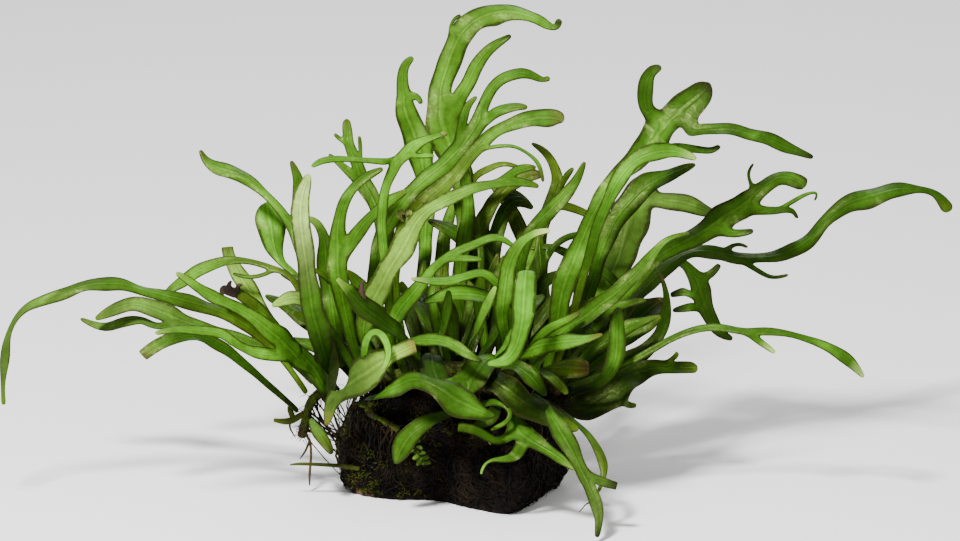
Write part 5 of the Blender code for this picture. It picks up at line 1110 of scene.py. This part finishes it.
class Blade:
    """A frond's surface: rings of six points, with the lobes drawn out of the rim.

    A ring's points go left-front, middle-front, right-front, right-back, middle-back,
    left-back. Front is the side that faces the light.
    """

    def __init__(self, name, leaf, look):
        """Grows the whole frond."""
        self.chance = random.Random(name)
        self.look = look
        self.cut = name in CUT_ENDS
        self.shade = self.chance.uniform(0.93, 1.07)
        self.cup = self.chance.choice((-1, 1)) * self.chance.uniform(0.5, 1.0) * CUPPING
        self.vertices = []
        self.faces = []
        self.rib = []
        self.edge = []
        self.tint = []
        self.grow(Axis(leaf.axis), leaf.lobes, None, 0.0, FACE, 0.0)

    def colours_at(self, share, from_tip):
        """The frond's colour at a share of its length, this far from a tip."""
        # The darker base colours are partly the stalks' own colour, partly painted shade deep in the clump.
        base, middle, end, tip = (LEAF_COLOURS[word] for word in self.look[1:])
        first, second, third = COLOUR_STOPS
        if share < second:
            tint = mix(base, middle, ramp(share, first, second))
        else:
            tint = mix(middle, end, ramp(share, second, third))
        tint = mix(tint, tip, TIP_STRENGTH * ramp(TIP_LENGTH - from_tip, 0, TIP_LENGTH * 0.8))
        return tuple(part * self.shade for part in tint)

    def turned_side(self, tangent, face, side_before):
        """The ring's side direction, no further than MOST_TWIST from the last, and its face."""
        side = tangent.cross(face)
        if side_before is None:
            return side.normalized(), face
        carried = flattened(side_before, tangent)
        if side.length < LEAST_SIDE:
            side = carried.copy()
        side.normalize()
        if side.dot(carried) < 0:
            side = -side
            face = -face
        twist = carried.angle(side)
        if twist > MOST_TWIST:
            side = carried.slerp(side, MOST_TWIST / twist)
        return side, face

    def round_off(self, axis, distance):
        """The share of its half-width that the blade keeps near a round tip."""
        blunt = axis.row(axis.length)[3]
        into = ramp(distance, axis.length - blunt, axis.length)
        return 1.0 if self.cut or blunt < BLUNT_TIP else math.sqrt(1 - 0.9 * into ** 2)

    def ring(self, axis, distance, face, side_before, before, waves, shares):
        """Adds one ring; returns its points' numbers, its side direction and its face."""
        across, up, toward, half_width = axis.row(distance)
        tangent = axis.tangent(distance)
        side, face = self.turned_side(tangent, face, side_before)
        normal = side.cross(tangent)
        seen = max(math.sqrt(max(1 - side.dot(TOWARD) ** 2, 0)), LEAST_SEEN)
        half_width *= self.round_off(axis, distance)
        half = max(half_width, LEAST_HALF_WIDTH) / seen * SMOOTHING_GROWTH
        blade = ramp(half_width, *STALK_HALF_WIDTHS)
        edge = between(*EDGE_THICKNESS, blade) / 2
        middle = between(*MIDDLE_THICKNESS, blade) / 2
        settled = blade * ramp(distance - shares[2], *WAVE_STARTS)
        left = half * (1 + WIDTH_WAVE * settled * waves[0].at(distance))
        right = half * (1 + WIDTH_WAVE * settled * waves[1].at(distance))
        left_lift = RUFFLE * half * settled * waves[2].at(distance)
        right_lift = RUFFLE * half * settled * waves[3].at(distance)
        sunk = self.cup * half * blade
        centre = board(across, up, toward)
        places = [(-left, left_lift + edge), (0, middle - sunk), (right, right_lift + edge),
                  (right, right_lift - edge), (0, -middle - sunk), (-left, left_lift - edge)]
        points = [centre + (side * x + normal * z) * MM for x, z in places]
        if before is not None:
            for k, old in enumerate(before):
                gain = (points[k] - self.vertices[old]).dot(tangent)
                points[k] += tangent * max(LEAST_GAIN * MM - gain, 0)
        start = len(self.vertices)
        self.vertices += points
        self.rib += [0, 1, 0, 0, 1, 0]
        self.edge += [1, 0, 1, 1, 0, 1]
        share = shares[0] + (1 - shares[0]) * (distance - shares[2]) / (shares[1] - shares[2])
        self.tint += [self.colours_at(share, axis.length - distance)] * 6
        return list(range(start, start + 6)), side, face

    def forks(self, axis, lobes):
        """Where each lobe leaves its parent's rim, and its own axis."""
        found = []
        for lobe in lobes:
            root = axis.row(axis.nearest(Vector(lobe.axis[0][:3])))
            own = Axis([(*root[:3], lobe.axis[0][3]), *lobe.axis[1:]])
            for place, row, at in zip(own.places, own.rows, own.distances):
                near = axis.nearest(place)
                away = (place - Vector(axis.row(near)[:3])).length
                if away >= axis.row(near)[3] + row[3] + CLEAR_OF_PARENT:
                    break
            cosine = own.tangent(at).dot(axis.tangent(near))
            sine = max(math.sqrt(1 - cosine ** 2), LEAST_FORK_SINE)
            middle = near - (row[3] + CLEAR_OF_PARENT) * cosine / sine
            reach = max(row[3] / sine, RING_GAP)
            outward = board(*row[:3]) - board(*axis.row(near)[:3])
            found.append([middle, reach, own, at, lobe.lobes, outward])
        found.sort(key=lambda fork: fork[0] - fork[1])
        placed = []
        for middle, reach, own, at, own_lobes, outward in found:
            if placed:
                middle = max(middle, placed[-1].high + RING_GAP + reach)
            placed.append(Fork(middle - reach, middle, middle + reach, own, at, own_lobes, outward))
        return placed

    def stations(self, axis, start, forks):
        """The distances of the rings: evenly spaced, and three for each lobe's root."""
        fixed = [place for fork in forks for place in (fork.low, fork.middle, fork.high)]
        ends = [start, axis.length]
        blunt = axis.row(axis.length)[3]
        if blunt >= BLUNT_TIP:
            ends += [axis.length - CUT_TIP_RING] if self.cut else [
                axis.length - blunt * share for share in ROUND_TIP_RINGS]
        count = max(round((axis.length - start) / RING_STEP), 2)
        even = [start + (axis.length - start) * i / count for i in range(1, count)]
        kept = [place for place in even
                if all(abs(place - other) > RING_GAP for other in fixed + ends)
                and not any(fork.low < place < fork.high for fork in forks)]
        return sorted(set(kept + fixed + ends))

    def grow(self, axis, lobes, root, start, face, share):
        """Rings from a distance to the tip, joined to a root or closed at the base."""
        forks = self.forks(axis, lobes)
        waves = [Wave(self.chance) for _ in range(4)]
        side = None
        before = None
        if root is not None:
            before = root.ring
            side = root.side if axis.tangent(start).cross(face).dot(root.side) > 0 else None
        rings = {}
        for distance in self.stations(axis, start, forks):
            ring, side, face = self.ring(
                axis, distance, face, side, before, waves, (share, axis.length, start))
            rings[distance] = (ring, side, face)
            if before is None:
                self.faces += [(ring[5], ring[4], ring[1], ring[0]),
                               (ring[4], ring[3], ring[2], ring[1])]
            else:
                self.join(before, ring, self.open_side(forks, rings, distance))
            before = ring
        self.faces += [(before[0], before[1], before[4], before[5]),
                       (before[1], before[2], before[3], before[4])]
        for fork in forks:
            self.branch(fork, rings, share + (1 - share) * fork.middle / axis.length)

    def branch(self, fork, rings, share):
        """A lobe, rooted on the three rings where its parent's rim is open."""
        (first, side, face), (middle, _, _), (last, _, _) = (
            rings[place] for place in (fork.low, fork.middle, fork.high))
        if fork.outward.dot(side) > 0:
            ring = [last[2], middle[2], first[2], first[3], middle[3], last[3]]
        else:
            ring = [first[0], middle[0], last[0], last[5], middle[5], first[5]]
        for number in (ring[1], ring[4]):
            self.edge[number] = 0
            self.rib[number] = 0.7
        across = (self.vertices[ring[2]] - self.vertices[ring[0]]).normalized()
        self.grow(fork.own, fork.lobes, Root(ring, across), fork.start, face, share)

    def open_side(self, forks, rings, distance):
        """'left' or 'right' on the stretch before this ring, where a lobe is rooted there."""
        for fork in forks:
            if fork.low < distance <= fork.high:
                return "right" if fork.outward.dot(rings[fork.low][1]) > 0 else "left"
        return None

    def join(self, a, b, opening):
        """The six sides between two rings, less the one that a lobe grows from."""
        for k in range(6):
            if (opening, k) not in (("right", 2), ("left", 5)):
                n = (k + 1) % 6
                self.faces.append((a[k], a[n], b[n], b[k]))


def inner_leaf(number, chance):
    """A short leaf deep in the clump, fanned out from its place along the stems."""
    place = 2 * number / (INNER_FRONDS - 1) - 1
    toward = chance.uniform(*INNER_BASE_TOWARD)
    base = Vector((INNER_SPREAD * place + 2, INNER_BASE_UP - 4 * place ** 2, toward))
    lean = INNER_FAN * place + chance.uniform(*INNER_LEAN)
    height = chance.uniform(*INNER_HEIGHTS) * (1 - 0.35 * abs(place))
    tip = base + Vector((lean, height, chance.uniform(*INNER_TIP_TOWARD)))
    bow = Vector([chance.uniform(*limits) for limits in INNER_BOWS])
    width = chance.uniform(*INNER_HALF_WIDTHS)
    shares = ((0, 1.1), (0.3, 0.75 * width), (0.65, width), (0.88, 0.6 * width), (1, 0.6))
    points = []
    for share, half_width in shares:
        spot = base.lerp(tip, share) + bow * math.sin(math.pi * share)
        points.append((*spot, half_width))
    return Leaf(points)


def leaflet(root, tip):
    """One round leaflet of the young plant."""
    root, tip = Vector(root), Vector(tip)
    middle = root.lerp(tip, 0.55) + Vector((0, 0.4, 0.3))
    return Leaf([(*root, 0.4), (*middle, 1.1), (*tip, 0.5)])


def make_fronds():
    """All the fronds, each in the skin of its slot."""
    skins = {slot: leaf_material(slot, kind) for slot, kind in LEAF_SKINS.items()}
    chance = random.Random("inner leaves")
    leaves = [(name, leaf, LOOKS[name]) for name, leaf in FRONDS.items()]
    for number in range(INNER_FRONDS):
        leaf = inner_leaf(number, chance)
        leaves.append((f"inner_frond_{number + 1:02}", leaf, chance.choice(SHADED_INNER_LOOKS)))
    for number, (root, tip) in enumerate(PLANTLET_LEAFLETS):
        leaves.append((f"plantlet_leaflet_{number + 1}", leaflet(root, tip), PLANTLET_LOOK))
    for name, leaf, look in leaves:
        blade = Blade(name, leaf, look)
        stands_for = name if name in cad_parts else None
        piece = new_piece(name + "_leaf", blade.vertices, blade.faces, skins[look.slot],
                          stands_for)
        give_values(piece.data, "rib", blade.rib)
        give_values(piece.data, "edge", blade.edge)
        give_colours(piece.data, "tint", blade.tint)
        subdivide(piece, SMOOTHING_LEVELS)


# ------------------------------------------------- the wood, its root mat and its moss

WOOD_OUTLINE = [
    (-36, -8), (-23, -15.5), (-8, -17), (6, -28), (17, -35), (24, -27), (30, -11),
    (35, 4), (29, 17), (14, 25), (-4, 27), (-20, 23), (-33, 14), (-38, 2),
]
# Height of each level of the wood, then how its outline grows and shifts there, mm.
WOOD_LEVELS = [
    (0, 1.00, 1.00, 0.0, 0.0), (4, 1.07, 1.03, 0.5, 0.0), (10, 1.10, 1.03, 0.5, 0.0),
    (18, 1.08, 0.98, -0.5, 0.0), (25, 0.98, 0.88, -1.0, 1.0), (31, 0.80, 0.72, -1.0, 2.0),
    (35, 0.55, 0.50, 0.0, 3.0), (37, 0.27, 0.24, 1.0, 3.5), (37.6, 0.03, 0.03, 1.0, 3.5),
]
WOOD_RELIEF = 1.5                   # mm, how far the bark's bumps stand out
BUMP_SIZES = (9, 3.1)               # mm, of the large and the small bumps
SMALL_BUMPS = 0.6                   # their height as a share of the large ones'
SMOOTH_RIM = 3                      # mm, the bumps fade out below this height
BARE_PATCH = board(-34, 1.5, 12)    # where the bark is gone, low on the left of the front
BARE_RADIUS = 6.5                   # mm
MOSSY_BARK = (-5, 25)               # mm to the left, from where there is none to most

# The layers of roots round the wood: how many roots, their length and radius, how far they
# stand off the wood, how much they wander and their two colours, with lengths in mm.
RootLayer = namedtuple("RootLayer", "number length radius lift wander colours")
ROOT_LAYERS = {
    "root_mat": RootLayer(900, (18, 45), (0.24, 0.5), 0.5, 0.32, MAT_COLOURS),
    "root_mat_loose": RootLayer(420, (14, 40), (0.13, 0.24), 1.3, 0.45, LOOSE_MAT_COLOURS),
}

# The rays that find a place on the wood run from a wide ring round it to a small one inside.
# Half the width and depth of each ring is in mm, and its height is a share of the ray's.
RAY_HEIGHTS = (2, 40)               # mm
WIDE_RING = (60, 50, 1.0)
SMALL_RING = (12, 4, 0.7)

ROOT_STEP = 1.5                     # mm, between two points of a creeping root
ROOT_RISE = 0.35                    # mm, the most that it climbs or sinks in a step
ROOT_LIFTS = (0.1, 2.2)             # mm at least, and times its first height at most
LEAST_ROOT_POINTS = 4
ROOT_CLEARANCE = 0.5                # mm, above the surface that the wood stands on

CURTAIN_DROPS = (4, 16)             # mm, how far a hanging root falls to where it takes hold
CURTAIN_SPREAD = 9                  # mm, how far aside it takes hold
CURTAIN_SWAY = 3.5                  # mm
CURTAIN_LIFT = 0.6                  # mm
CURTAIN_WANDER = 0.4
CURTAIN_GRIPS = (6, 26)             # mm, how far it then creeps over the wood
CURTAIN_RADII = (0.16, 0.42)        # mm

MOSS_TUFTS = 3400                   # places tried; most of them turn out too bare
SHOOTS_IN_TUFT = 5
SHOOT_LENGTHS = (0.9, 2.3)          # mm
SHOOT_RADII = (0.14, 0.24, 0.06)    # mm, from the foot of a shoot to its tip
MOSS_LEFT = (-4, 30)                # mm to the left, from where it grows little to well
MOSS_HIGH = (18, 34)                # mm up, the same
MOSS_CLUMPS = 6                     # mm, the size of the patches of moss
MOSS_CLEARANCE = 0.4                # mm


def make_wood():
    """The lump with its bark; gives the surface that the roots and the moss grow on."""
    outline = smooth(WOOD_OUTLINE, 10, closed=True)
    levels = smooth(WOOD_LEVELS, 6)
    count = len(outline)
    vertices = []
    for height, grow_x, grow_y, shift_x, shift_y in levels:
        for x, y in outline:
            place = Vector((x * grow_x + shift_x, y * grow_y + shift_y, height))
            out = Vector((x, y, 0)).normalized()
            relief = noise.fractal(place / BUMP_SIZES[0], 1.0, 2.1, 4)
            relief += SMALL_BUMPS * noise.noise(place / BUMP_SIZES[1])
            place += out * WOOD_RELIEF * relief * ramp(height, 0, SMOOTH_RIM)
            vertices.append(place * MM)
    faces = [tuple(reversed(range(count)))]
    for level in range(len(levels) - 1):
        for i in range(count):
            j = (i + 1) % count
            low = level * count
            faces.append((low + i, low + j, low + count + j, low + count + i))
    top = (len(levels) - 1) * count
    faces.append(tuple(range(top, top + count)))
    wood = new_piece("driftwood_bark", vertices, faces, wood_material(), "driftwood")
    bare = [1 - ramp((v - BARE_PATCH).length / MM, BARE_RADIUS * 0.5, BARE_RADIUS) for v in vertices]
    give_values(wood.data, "bare", bare)
    give_values(wood.data, "mossy", [ramp(-v.x / MM, *MOSSY_BARK) for v in vertices])
    return BVHTree.FromPolygons(vertices, faces)


def on_wood(surface, chance):
    """A random place on the wood, above its underside, and the direction out of it."""
    around = chance.uniform(0, 2 * math.pi)
    height = chance.uniform(*RAY_HEIGHTS) * MM
    start, target = (
        Vector((x * MM * math.cos(around), y * MM * math.sin(around), height * share))
        for x, y, share in (WIDE_RING, SMALL_RING))
    place, normal, _, _ = surface.ray_cast(start, (target - start).normalized())
    return place, normal


def creep(surface, chance, place, heading, length, lift, wander):
    """A root's path over the wood (metres): it wanders and keeps near the surface."""
    step = ROOT_STEP * MM
    places = []
    height = lift
    for _ in range(int(length * MM / step)):
        found, normal, _, _ = surface.find_nearest(place)
        if found is None:
            break
        height += chance.uniform(-ROOT_RISE, ROOT_RISE) * MM
        height = min(max(height, ROOT_LIFTS[0] * MM), lift * ROOT_LIFTS[1])
        spot = found + normal * height
        if spot.z < ROOT_CLEARANCE * MM:
            break
        places.append(spot)
        heading = flattened(heading + scatter(chance) * wander, normal)
        place = spot + heading * step
    return places


def make_root_mat(surface):
    """The mat of fine roots round the wood: a tight layer, and looser roots over it."""
    chance = random.Random("root mat")
    for name, layer in ROOT_LAYERS.items():
        tubes = Tubes()
        for _ in range(layer.number):
            place, normal = on_wood(surface, chance)
            if place is None:
                continue
            heading = flattened(scatter(chance, -1, 0.4), normal)
            length = chance.uniform(*layer.length)
            lift = layer.lift * MM * chance.uniform(0.4, 1.0)
            path = creep(surface, chance, place, heading, length, lift, layer.wander)
            if len(path) < LEAST_ROOT_POINTS:
                continue
            thick = chance.uniform(*layer.radius) * MM
            tubes.add(path, tapered(thick, 0.65, len(path)))
        tubes.piece(name, root_material(name, layer.colours), "root_mat")


def make_root_curtain(surface):
    """Roots that hang from the stems and take hold of the wood."""
    chance = random.Random("root curtain")
    tubes = Tubes()
    for stem in RHIZOMES.values():
        places = [board(*row) for row in smooth(stem.points, STEM_STEPS)]
        for _ in range(int(stem.roots * len(places))):
            start = chance.choice(places)
            aside = scatter(chance, 0, 0)
            start = start + aside * stem.radius * 0.8 * MM
            below = start + aside * CURTAIN_SPREAD * MM - Vector((0, 0, chance.uniform(*CURTAIN_DROPS) * MM))
            end, _, _, _ = surface.find_nearest(below)
            sway = scatter(chance, -1, 0) * CURTAIN_SWAY * MM
            path = [start.lerp(end, share) + sway * math.sin(math.pi * share)
                    for share in (0, 0.2, 0.4, 0.6, 0.8, 1)]
            grip = chance.uniform(*CURTAIN_GRIPS)
            path += creep(surface, chance, end, (end - start).normalized(), grip,
                          CURTAIN_LIFT * MM, CURTAIN_WANDER)
            thick = chance.uniform(*CURTAIN_RADII) * MM
            if min(p.z for p in path) > ROOT_CLEARANCE * MM:
                tubes.add(path, tapered(thick, 0.7, len(path)))
    skin = root_material("curtain root", CURTAIN_COLOURS)
    tubes.piece("root_curtain", skin, "root_mat")


def make_moss(surface):
    """Tufts of moss, most of them on the left of the lump and along its top."""
    chance = random.Random("moss")
    tubes = Tubes()
    for _ in range(MOSS_TUFTS):
        place, normal = on_wood(surface, chance)
        if place is None:
            continue
        leftness = ramp(-place.x / MM, *MOSS_LEFT)
        height = ramp(place.z / MM, *MOSS_HIGH)
        liking = 0.6 * leftness + 0.9 * leftness * height + 0.25 * height
        liking *= ramp(noise.noise(place / (MOSS_CLUMPS * MM)), -0.15, 0.35) + 0.12
        if chance.random() > liking:
            continue
        for _ in range(SHOOTS_IN_TUFT):
            grow = (normal + scatter(chance, -0.6, 1) * 0.8).normalized()
            long = chance.uniform(*SHOOT_LENGTHS) * MM
            bend = scatter(chance)
            start = place + scatter(chance, 0, 0) * 0.6 * MM
            path = [start, start + grow * long * 0.5, start + grow * long + bend * long * 0.25]
            if min(p.z for p in path) > MOSS_CLEARANCE * MM:
                tubes.add(path, [radius * MM for radius in SHOOT_RADII], 3)
    tubes.piece("moss", moss_material(), "moss")


# ------------------------------------------------------------------------ the rhizomes

# A stem's radius, the roots that hang from each step of its curve, and the curve, mm.
Stem = namedtuple("Stem", "radius roots points")
RHIZOMES = {
    "rhizome_left": Stem(1.8, 0.8, [
        (-56, 18, 4), (-54.5, 24, 5), (-53, 30, 5), (-49, 34.5, 4), (-43, 37, 3)]),
    "rhizome_top": Stem(3.0, 9, [
        (-33, 38, 4), (-22, 40, 6), (-8, 42.5, 9), (6, 42.5, 9), (20, 41, 8), (31, 38.5, 10),
        (38, 34, 14)]),
    "rhizome_back": Stem(2.8, 7, [
        (-26, 37.5, -8), (-12, 41, -9), (4, 41.5, -9), (18, 39.5, -9), (30, 34.5, -8)]),
    "rhizome_front": Stem(1.2, 4, [
        (-37.5, 30.2, 24), (-33.5, 30, 27), (-30.5, 26.5, 27.5), (-26, 24, 28), (-20.5, 21, 30)]),
    "rhizome_front_right": Stem(2.3, 6, [
        (1, 36.5, 24), (11, 36, 25.5), (21, 34, 25.5), (30, 30.5, 24.5)]),
}
STEM_STEPS = 8                      # between two points of a stem's curve
STEM_SIDES = 12
STEM_SWELLING = 0.12                # a share of the radius
HAIR_DENSITY = 2                    # hairs on each step of a stem, for each mm of its radius
HAIR_LENGTHS = (1.5, 4.0)           # mm
HAIR_RADII = (0.17, 0.12, 0.06)     # mm, from the base of a hair to its tip


def make_rhizomes():
    """The creeping stems, knobbly and scaly, each with short root hairs."""
    skin = rhizome_material()
    chance = random.Random("rhizomes")
    hairs = Tubes()
    for name, stem in RHIZOMES.items():
        tube = Tubes()
        places = [board(*row) for row in smooth(stem.points, STEM_STEPS)]
        last = len(places) - 1
        swelling = Wave(chance)
        radii = []
        for i in range(last + 1):
            end = 1 - 0.5 * ramp(abs(2 * i / last - 1), 0.9, 1.0)
            radii.append(stem.radius * MM * end * (1 + STEM_SWELLING * swelling.at(i * 1.4)))
        tube.add(places, radii, STEM_SIDES)
        piece = new_piece(name + "_stem", tube.vertices, tube.faces, skin, name)
        subdivide(piece, 1)
        for _ in range(int(HAIR_DENSITY * last * stem.radius)):
            i = chance.randrange(1, last)
            out = scatter(chance, -1, 0.3).normalized()
            long = chance.uniform(*HAIR_LENGTHS) * MM
            start = places[i] + out * radii[i] * 0.9
            bend = scatter(chance, -1, -1) * 0.4
            hairs.add([start, start + out * long * 0.5, start + (out + bend) * long],
                      [radius * MM for radius in HAIR_RADII], 4)
    hair_skin = root_material("root hair", HAIR_COLOURS)
    hairs.piece("root_hairs", hair_skin, "root_mat")


# ------------------------------------------------- buds, rootlets and other small pieces

STRAND_STEPS = 6                    # between two points of a strand
STRAND_SIDES = 8

# Thin strands on the board (across, up, toward, radius), mm.
DARK_ROOTS = [
    [(-55, 20, 6, 0.6), (-53, 17, 6, 0.55), (-52.5, 12, 6, 0.5), (-53, 5, 6, 0.5), (-53, 1, 5, 0.25)],
    [(-53, 17, 6, 0.5), (-54.5, 13.5, 7, 0.4), (-56.5, 10.5, 8, 0.2)],
    [(40, 33, 10, 0.5), (43, 35, 10, 0.5), (46, 37.5, 10, 0.5), (50, 40.5, 9, 0.45),
     (53.5, 43, 8, 0.3)],
    [(49, -2, 64, 0.35), (48, -4, 64, 0.3), (46, -5.3, 63, 0.25), (44.6, -7, 62, 0.22),
     (43.6, -8, 62, 0.12)],
]
MOSSY_ROOTS = [
    [(-35, 7, 14, 0.9), (-41, 8, 14, 0.8), (-48, 8.5, 14, 0.7), (-56, 8.8, 14, 0.6), (-60, 8.5, 14, 0.3)],
    [(-55, 27, 5, 1.1), (-59, 24.6, 5, 1.3), (-62, 24, 5, 1.2), (-66, 24.5, 5, 0.7)],
    [(-59, 25, 5, 1.0), (-60, 28, 5, 1.1), (-60.6, 29.6, 5, 0.5)],
    [(-60, 24, 5, 0.4), (-60, 21.5, 5, 0.35), (-58, 18, 5, 0.15)],
]
PALE_ROOTS = [
    [(10.5, 19, 46, 0.22), (11, 17.8, 46, 0.2), (11.4, 17, 46, 0.18), (12, 16, 46, 0.1)],
]

# Pale knobs: buds and curled young leaves that sit on the fronds.
PALE_BUDS = [
    [(-19, 96, 8, 0.6), (-20.6, 98.2, 8.5, 1.2), (-19.8, 99.4, 9.6, 1.1), (-18.8, 98.6, 10, 0.6)],
    [(-17.5, 97, 8, 0.6), (-17.8, 98.6, 10, 1.0), (-16.9, 99.4, 10.6, 0.8), (-16.4, 98.2, 11, 0.5)],
    [(-18, 95, 8, 0.5), (-17.6, 96.6, 10, 0.9), (-16.8, 95.6, 10.6, 0.7)],
    [(-11.6, 102, 8, 0.5), (-11.8, 103, 10, 0.9), (-10.8, 103.6, 10.6, 0.6)],
    [(-5.4, 126, -9, 0.6), (-5, 127.6, -6, 1.0), (-3.8, 127.2, -5, 0.6)],
]

# Crumpled dead tips: one over the middle of the clump, one on the short leaf on the left.
DEAD_TIPS = [
    [(-33, 68.6, 44, 0.7), (-34.2, 71, 46, 1.0), (-34, 73.4, 46, 0.8), (-33, 75, 46, 0.4)],
    [(-79.5, 69.6, 22, 1.4), (-81.5, 70.8, 23, 1.8), (-83.6, 71.4, 24, 1.6), (-84.4, 69.8, 24, 0.8)],
    [(-81, 70.8, 23, 1.1), (-81.8, 73, 24, 0.9), (-81, 74.6, 24, 0.4)],
    [(-79, 70.4, 22, 1.0), (-78.4, 72.8, 23, 0.8), (-77, 73.2, 23, 0.4)],
]


def make_strands():
    """The single roots that stand clear of the mat, the buds and the dead tips."""
    for name, strands, skin, slot in (
            ("dark_roots", DARK_ROOTS, root_material("dark root", DARK_ROOT_COLOURS), "root_mat"),
            ("mossy_roots", MOSSY_ROOTS, moss_material(), "moss"),
            ("pale_roots", PALE_ROOTS, root_material("pale root", PALE_ROOT_COLOURS), "root_mat"),
            ("pale_buds", PALE_BUDS, root_material("bud", BUD_COLOURS), "leaf_pale"),
            ("dead_tips", DEAD_TIPS, root_material("dead tip", DEAD_COLOURS), "leaf_dark")):
        tubes = Tubes()
        for strand in strands:
            rows = smooth(strand, STRAND_STEPS)
            radii = [row[3] * MM for row in rows]
            tubes.add([board(*row[:3]) for row in rows], radii, STRAND_SIDES)
        tubes.piece(name, skin, slot)


# ------------------------------------------------------------ the floor, lights, camera

FLOOR_SIZE = 4.0                    # m
FLOOR_COLOUR = (0.95, 0.95, 0.95, 1)
WORLD_STRENGTH = 0.42

# A lamp's place and size are in metres and its power in watts.
Lamp = namedtuple("Lamp", "place size power")
LAMPS = {
    "key": Lamp((-0.35, -0.55, 0.95), 0.18, 29),
    "fill": Lamp((0.8, -0.5, 0.5), 0.6, 2.5),
    "back": Lamp((0.1, 0.8, 0.9), 0.6, 5),
}

VIEW_MIDDLE = (8.28, 78.3)          # mm, across and up on the board
VIEW_WIDTH = 345.6                  # mm of the board
CAMERA_LENS = 800                   # mm, so long that the view is nearly without perspective
CAMERA_SENSOR = 36                  # mm wide
CAMERA_DISTANCE = VIEW_WIDTH * CAMERA_LENS / CAMERA_SENSOR


def make_floor():
    """A plain pale floor, large enough to fill every view."""
    bpy.ops.mesh.primitive_plane_add(size=FLOOR_SIZE)
    floor = bpy.context.object
    floor.name = "floor"
    paint = Nodes("floor paint")
    grain = paint.spread(paint.noise(40, 2), 0.0, 1.0, 0.99, 1.01)
    floor.data.materials.append(paint.finish(paint.brighten(FLOOR_COLOUR, grain), 0.8))


def make_light(name, lamp):
    """A soft square lamp that looks at the plant."""
    data = bpy.data.lights.new(name, "AREA")
    data.size = lamp.size
    data.energy = lamp.power
    light = bpy.data.objects.new(name, data)
    light.location = lamp.place
    light.rotation_mode = "QUATERNION"
    toward_lamp = Vector(lamp.place) - board(*VIEW_MIDDLE, 0)
    light.rotation_quaternion = toward_lamp.to_track_quat("Z", "Y")
    bpy.context.collection.objects.link(light)


def make_studio():
    """White surroundings, a key light from above on the left, a fill and a light behind."""
    world = bpy.data.worlds.new("studio")
    world.use_nodes = True
    background = world.node_tree.nodes["Background"]
    background.inputs["Color"].default_value = (1, 1, 1, 1)
    background.inputs["Strength"].default_value = WORLD_STRENGTH
    bpy.context.scene.world = world
    for name, lamp in LAMPS.items():
        make_light(name, lamp)


def make_camera():
    """The camera looks square onto the leaning board."""
    data = bpy.data.cameras.new("camera")
    data.lens = CAMERA_LENS
    data.sensor_width = CAMERA_SENSOR
    camera = bpy.data.objects.new("camera", data)
    camera.location = board(*VIEW_MIDDLE, CAMERA_DISTANCE)
    camera.rotation_mode = "QUATERNION"
    camera.rotation_quaternion = TOWARD.to_track_quat("Z", "Y")
    bpy.context.collection.objects.link(camera)
    bpy.context.scene.camera = camera


surface = make_wood()
make_root_mat(surface)
make_root_curtain(surface)
make_moss(surface)
make_rhizomes()
make_fronds()
make_strands()
make_floor()
make_studio()
make_camera()
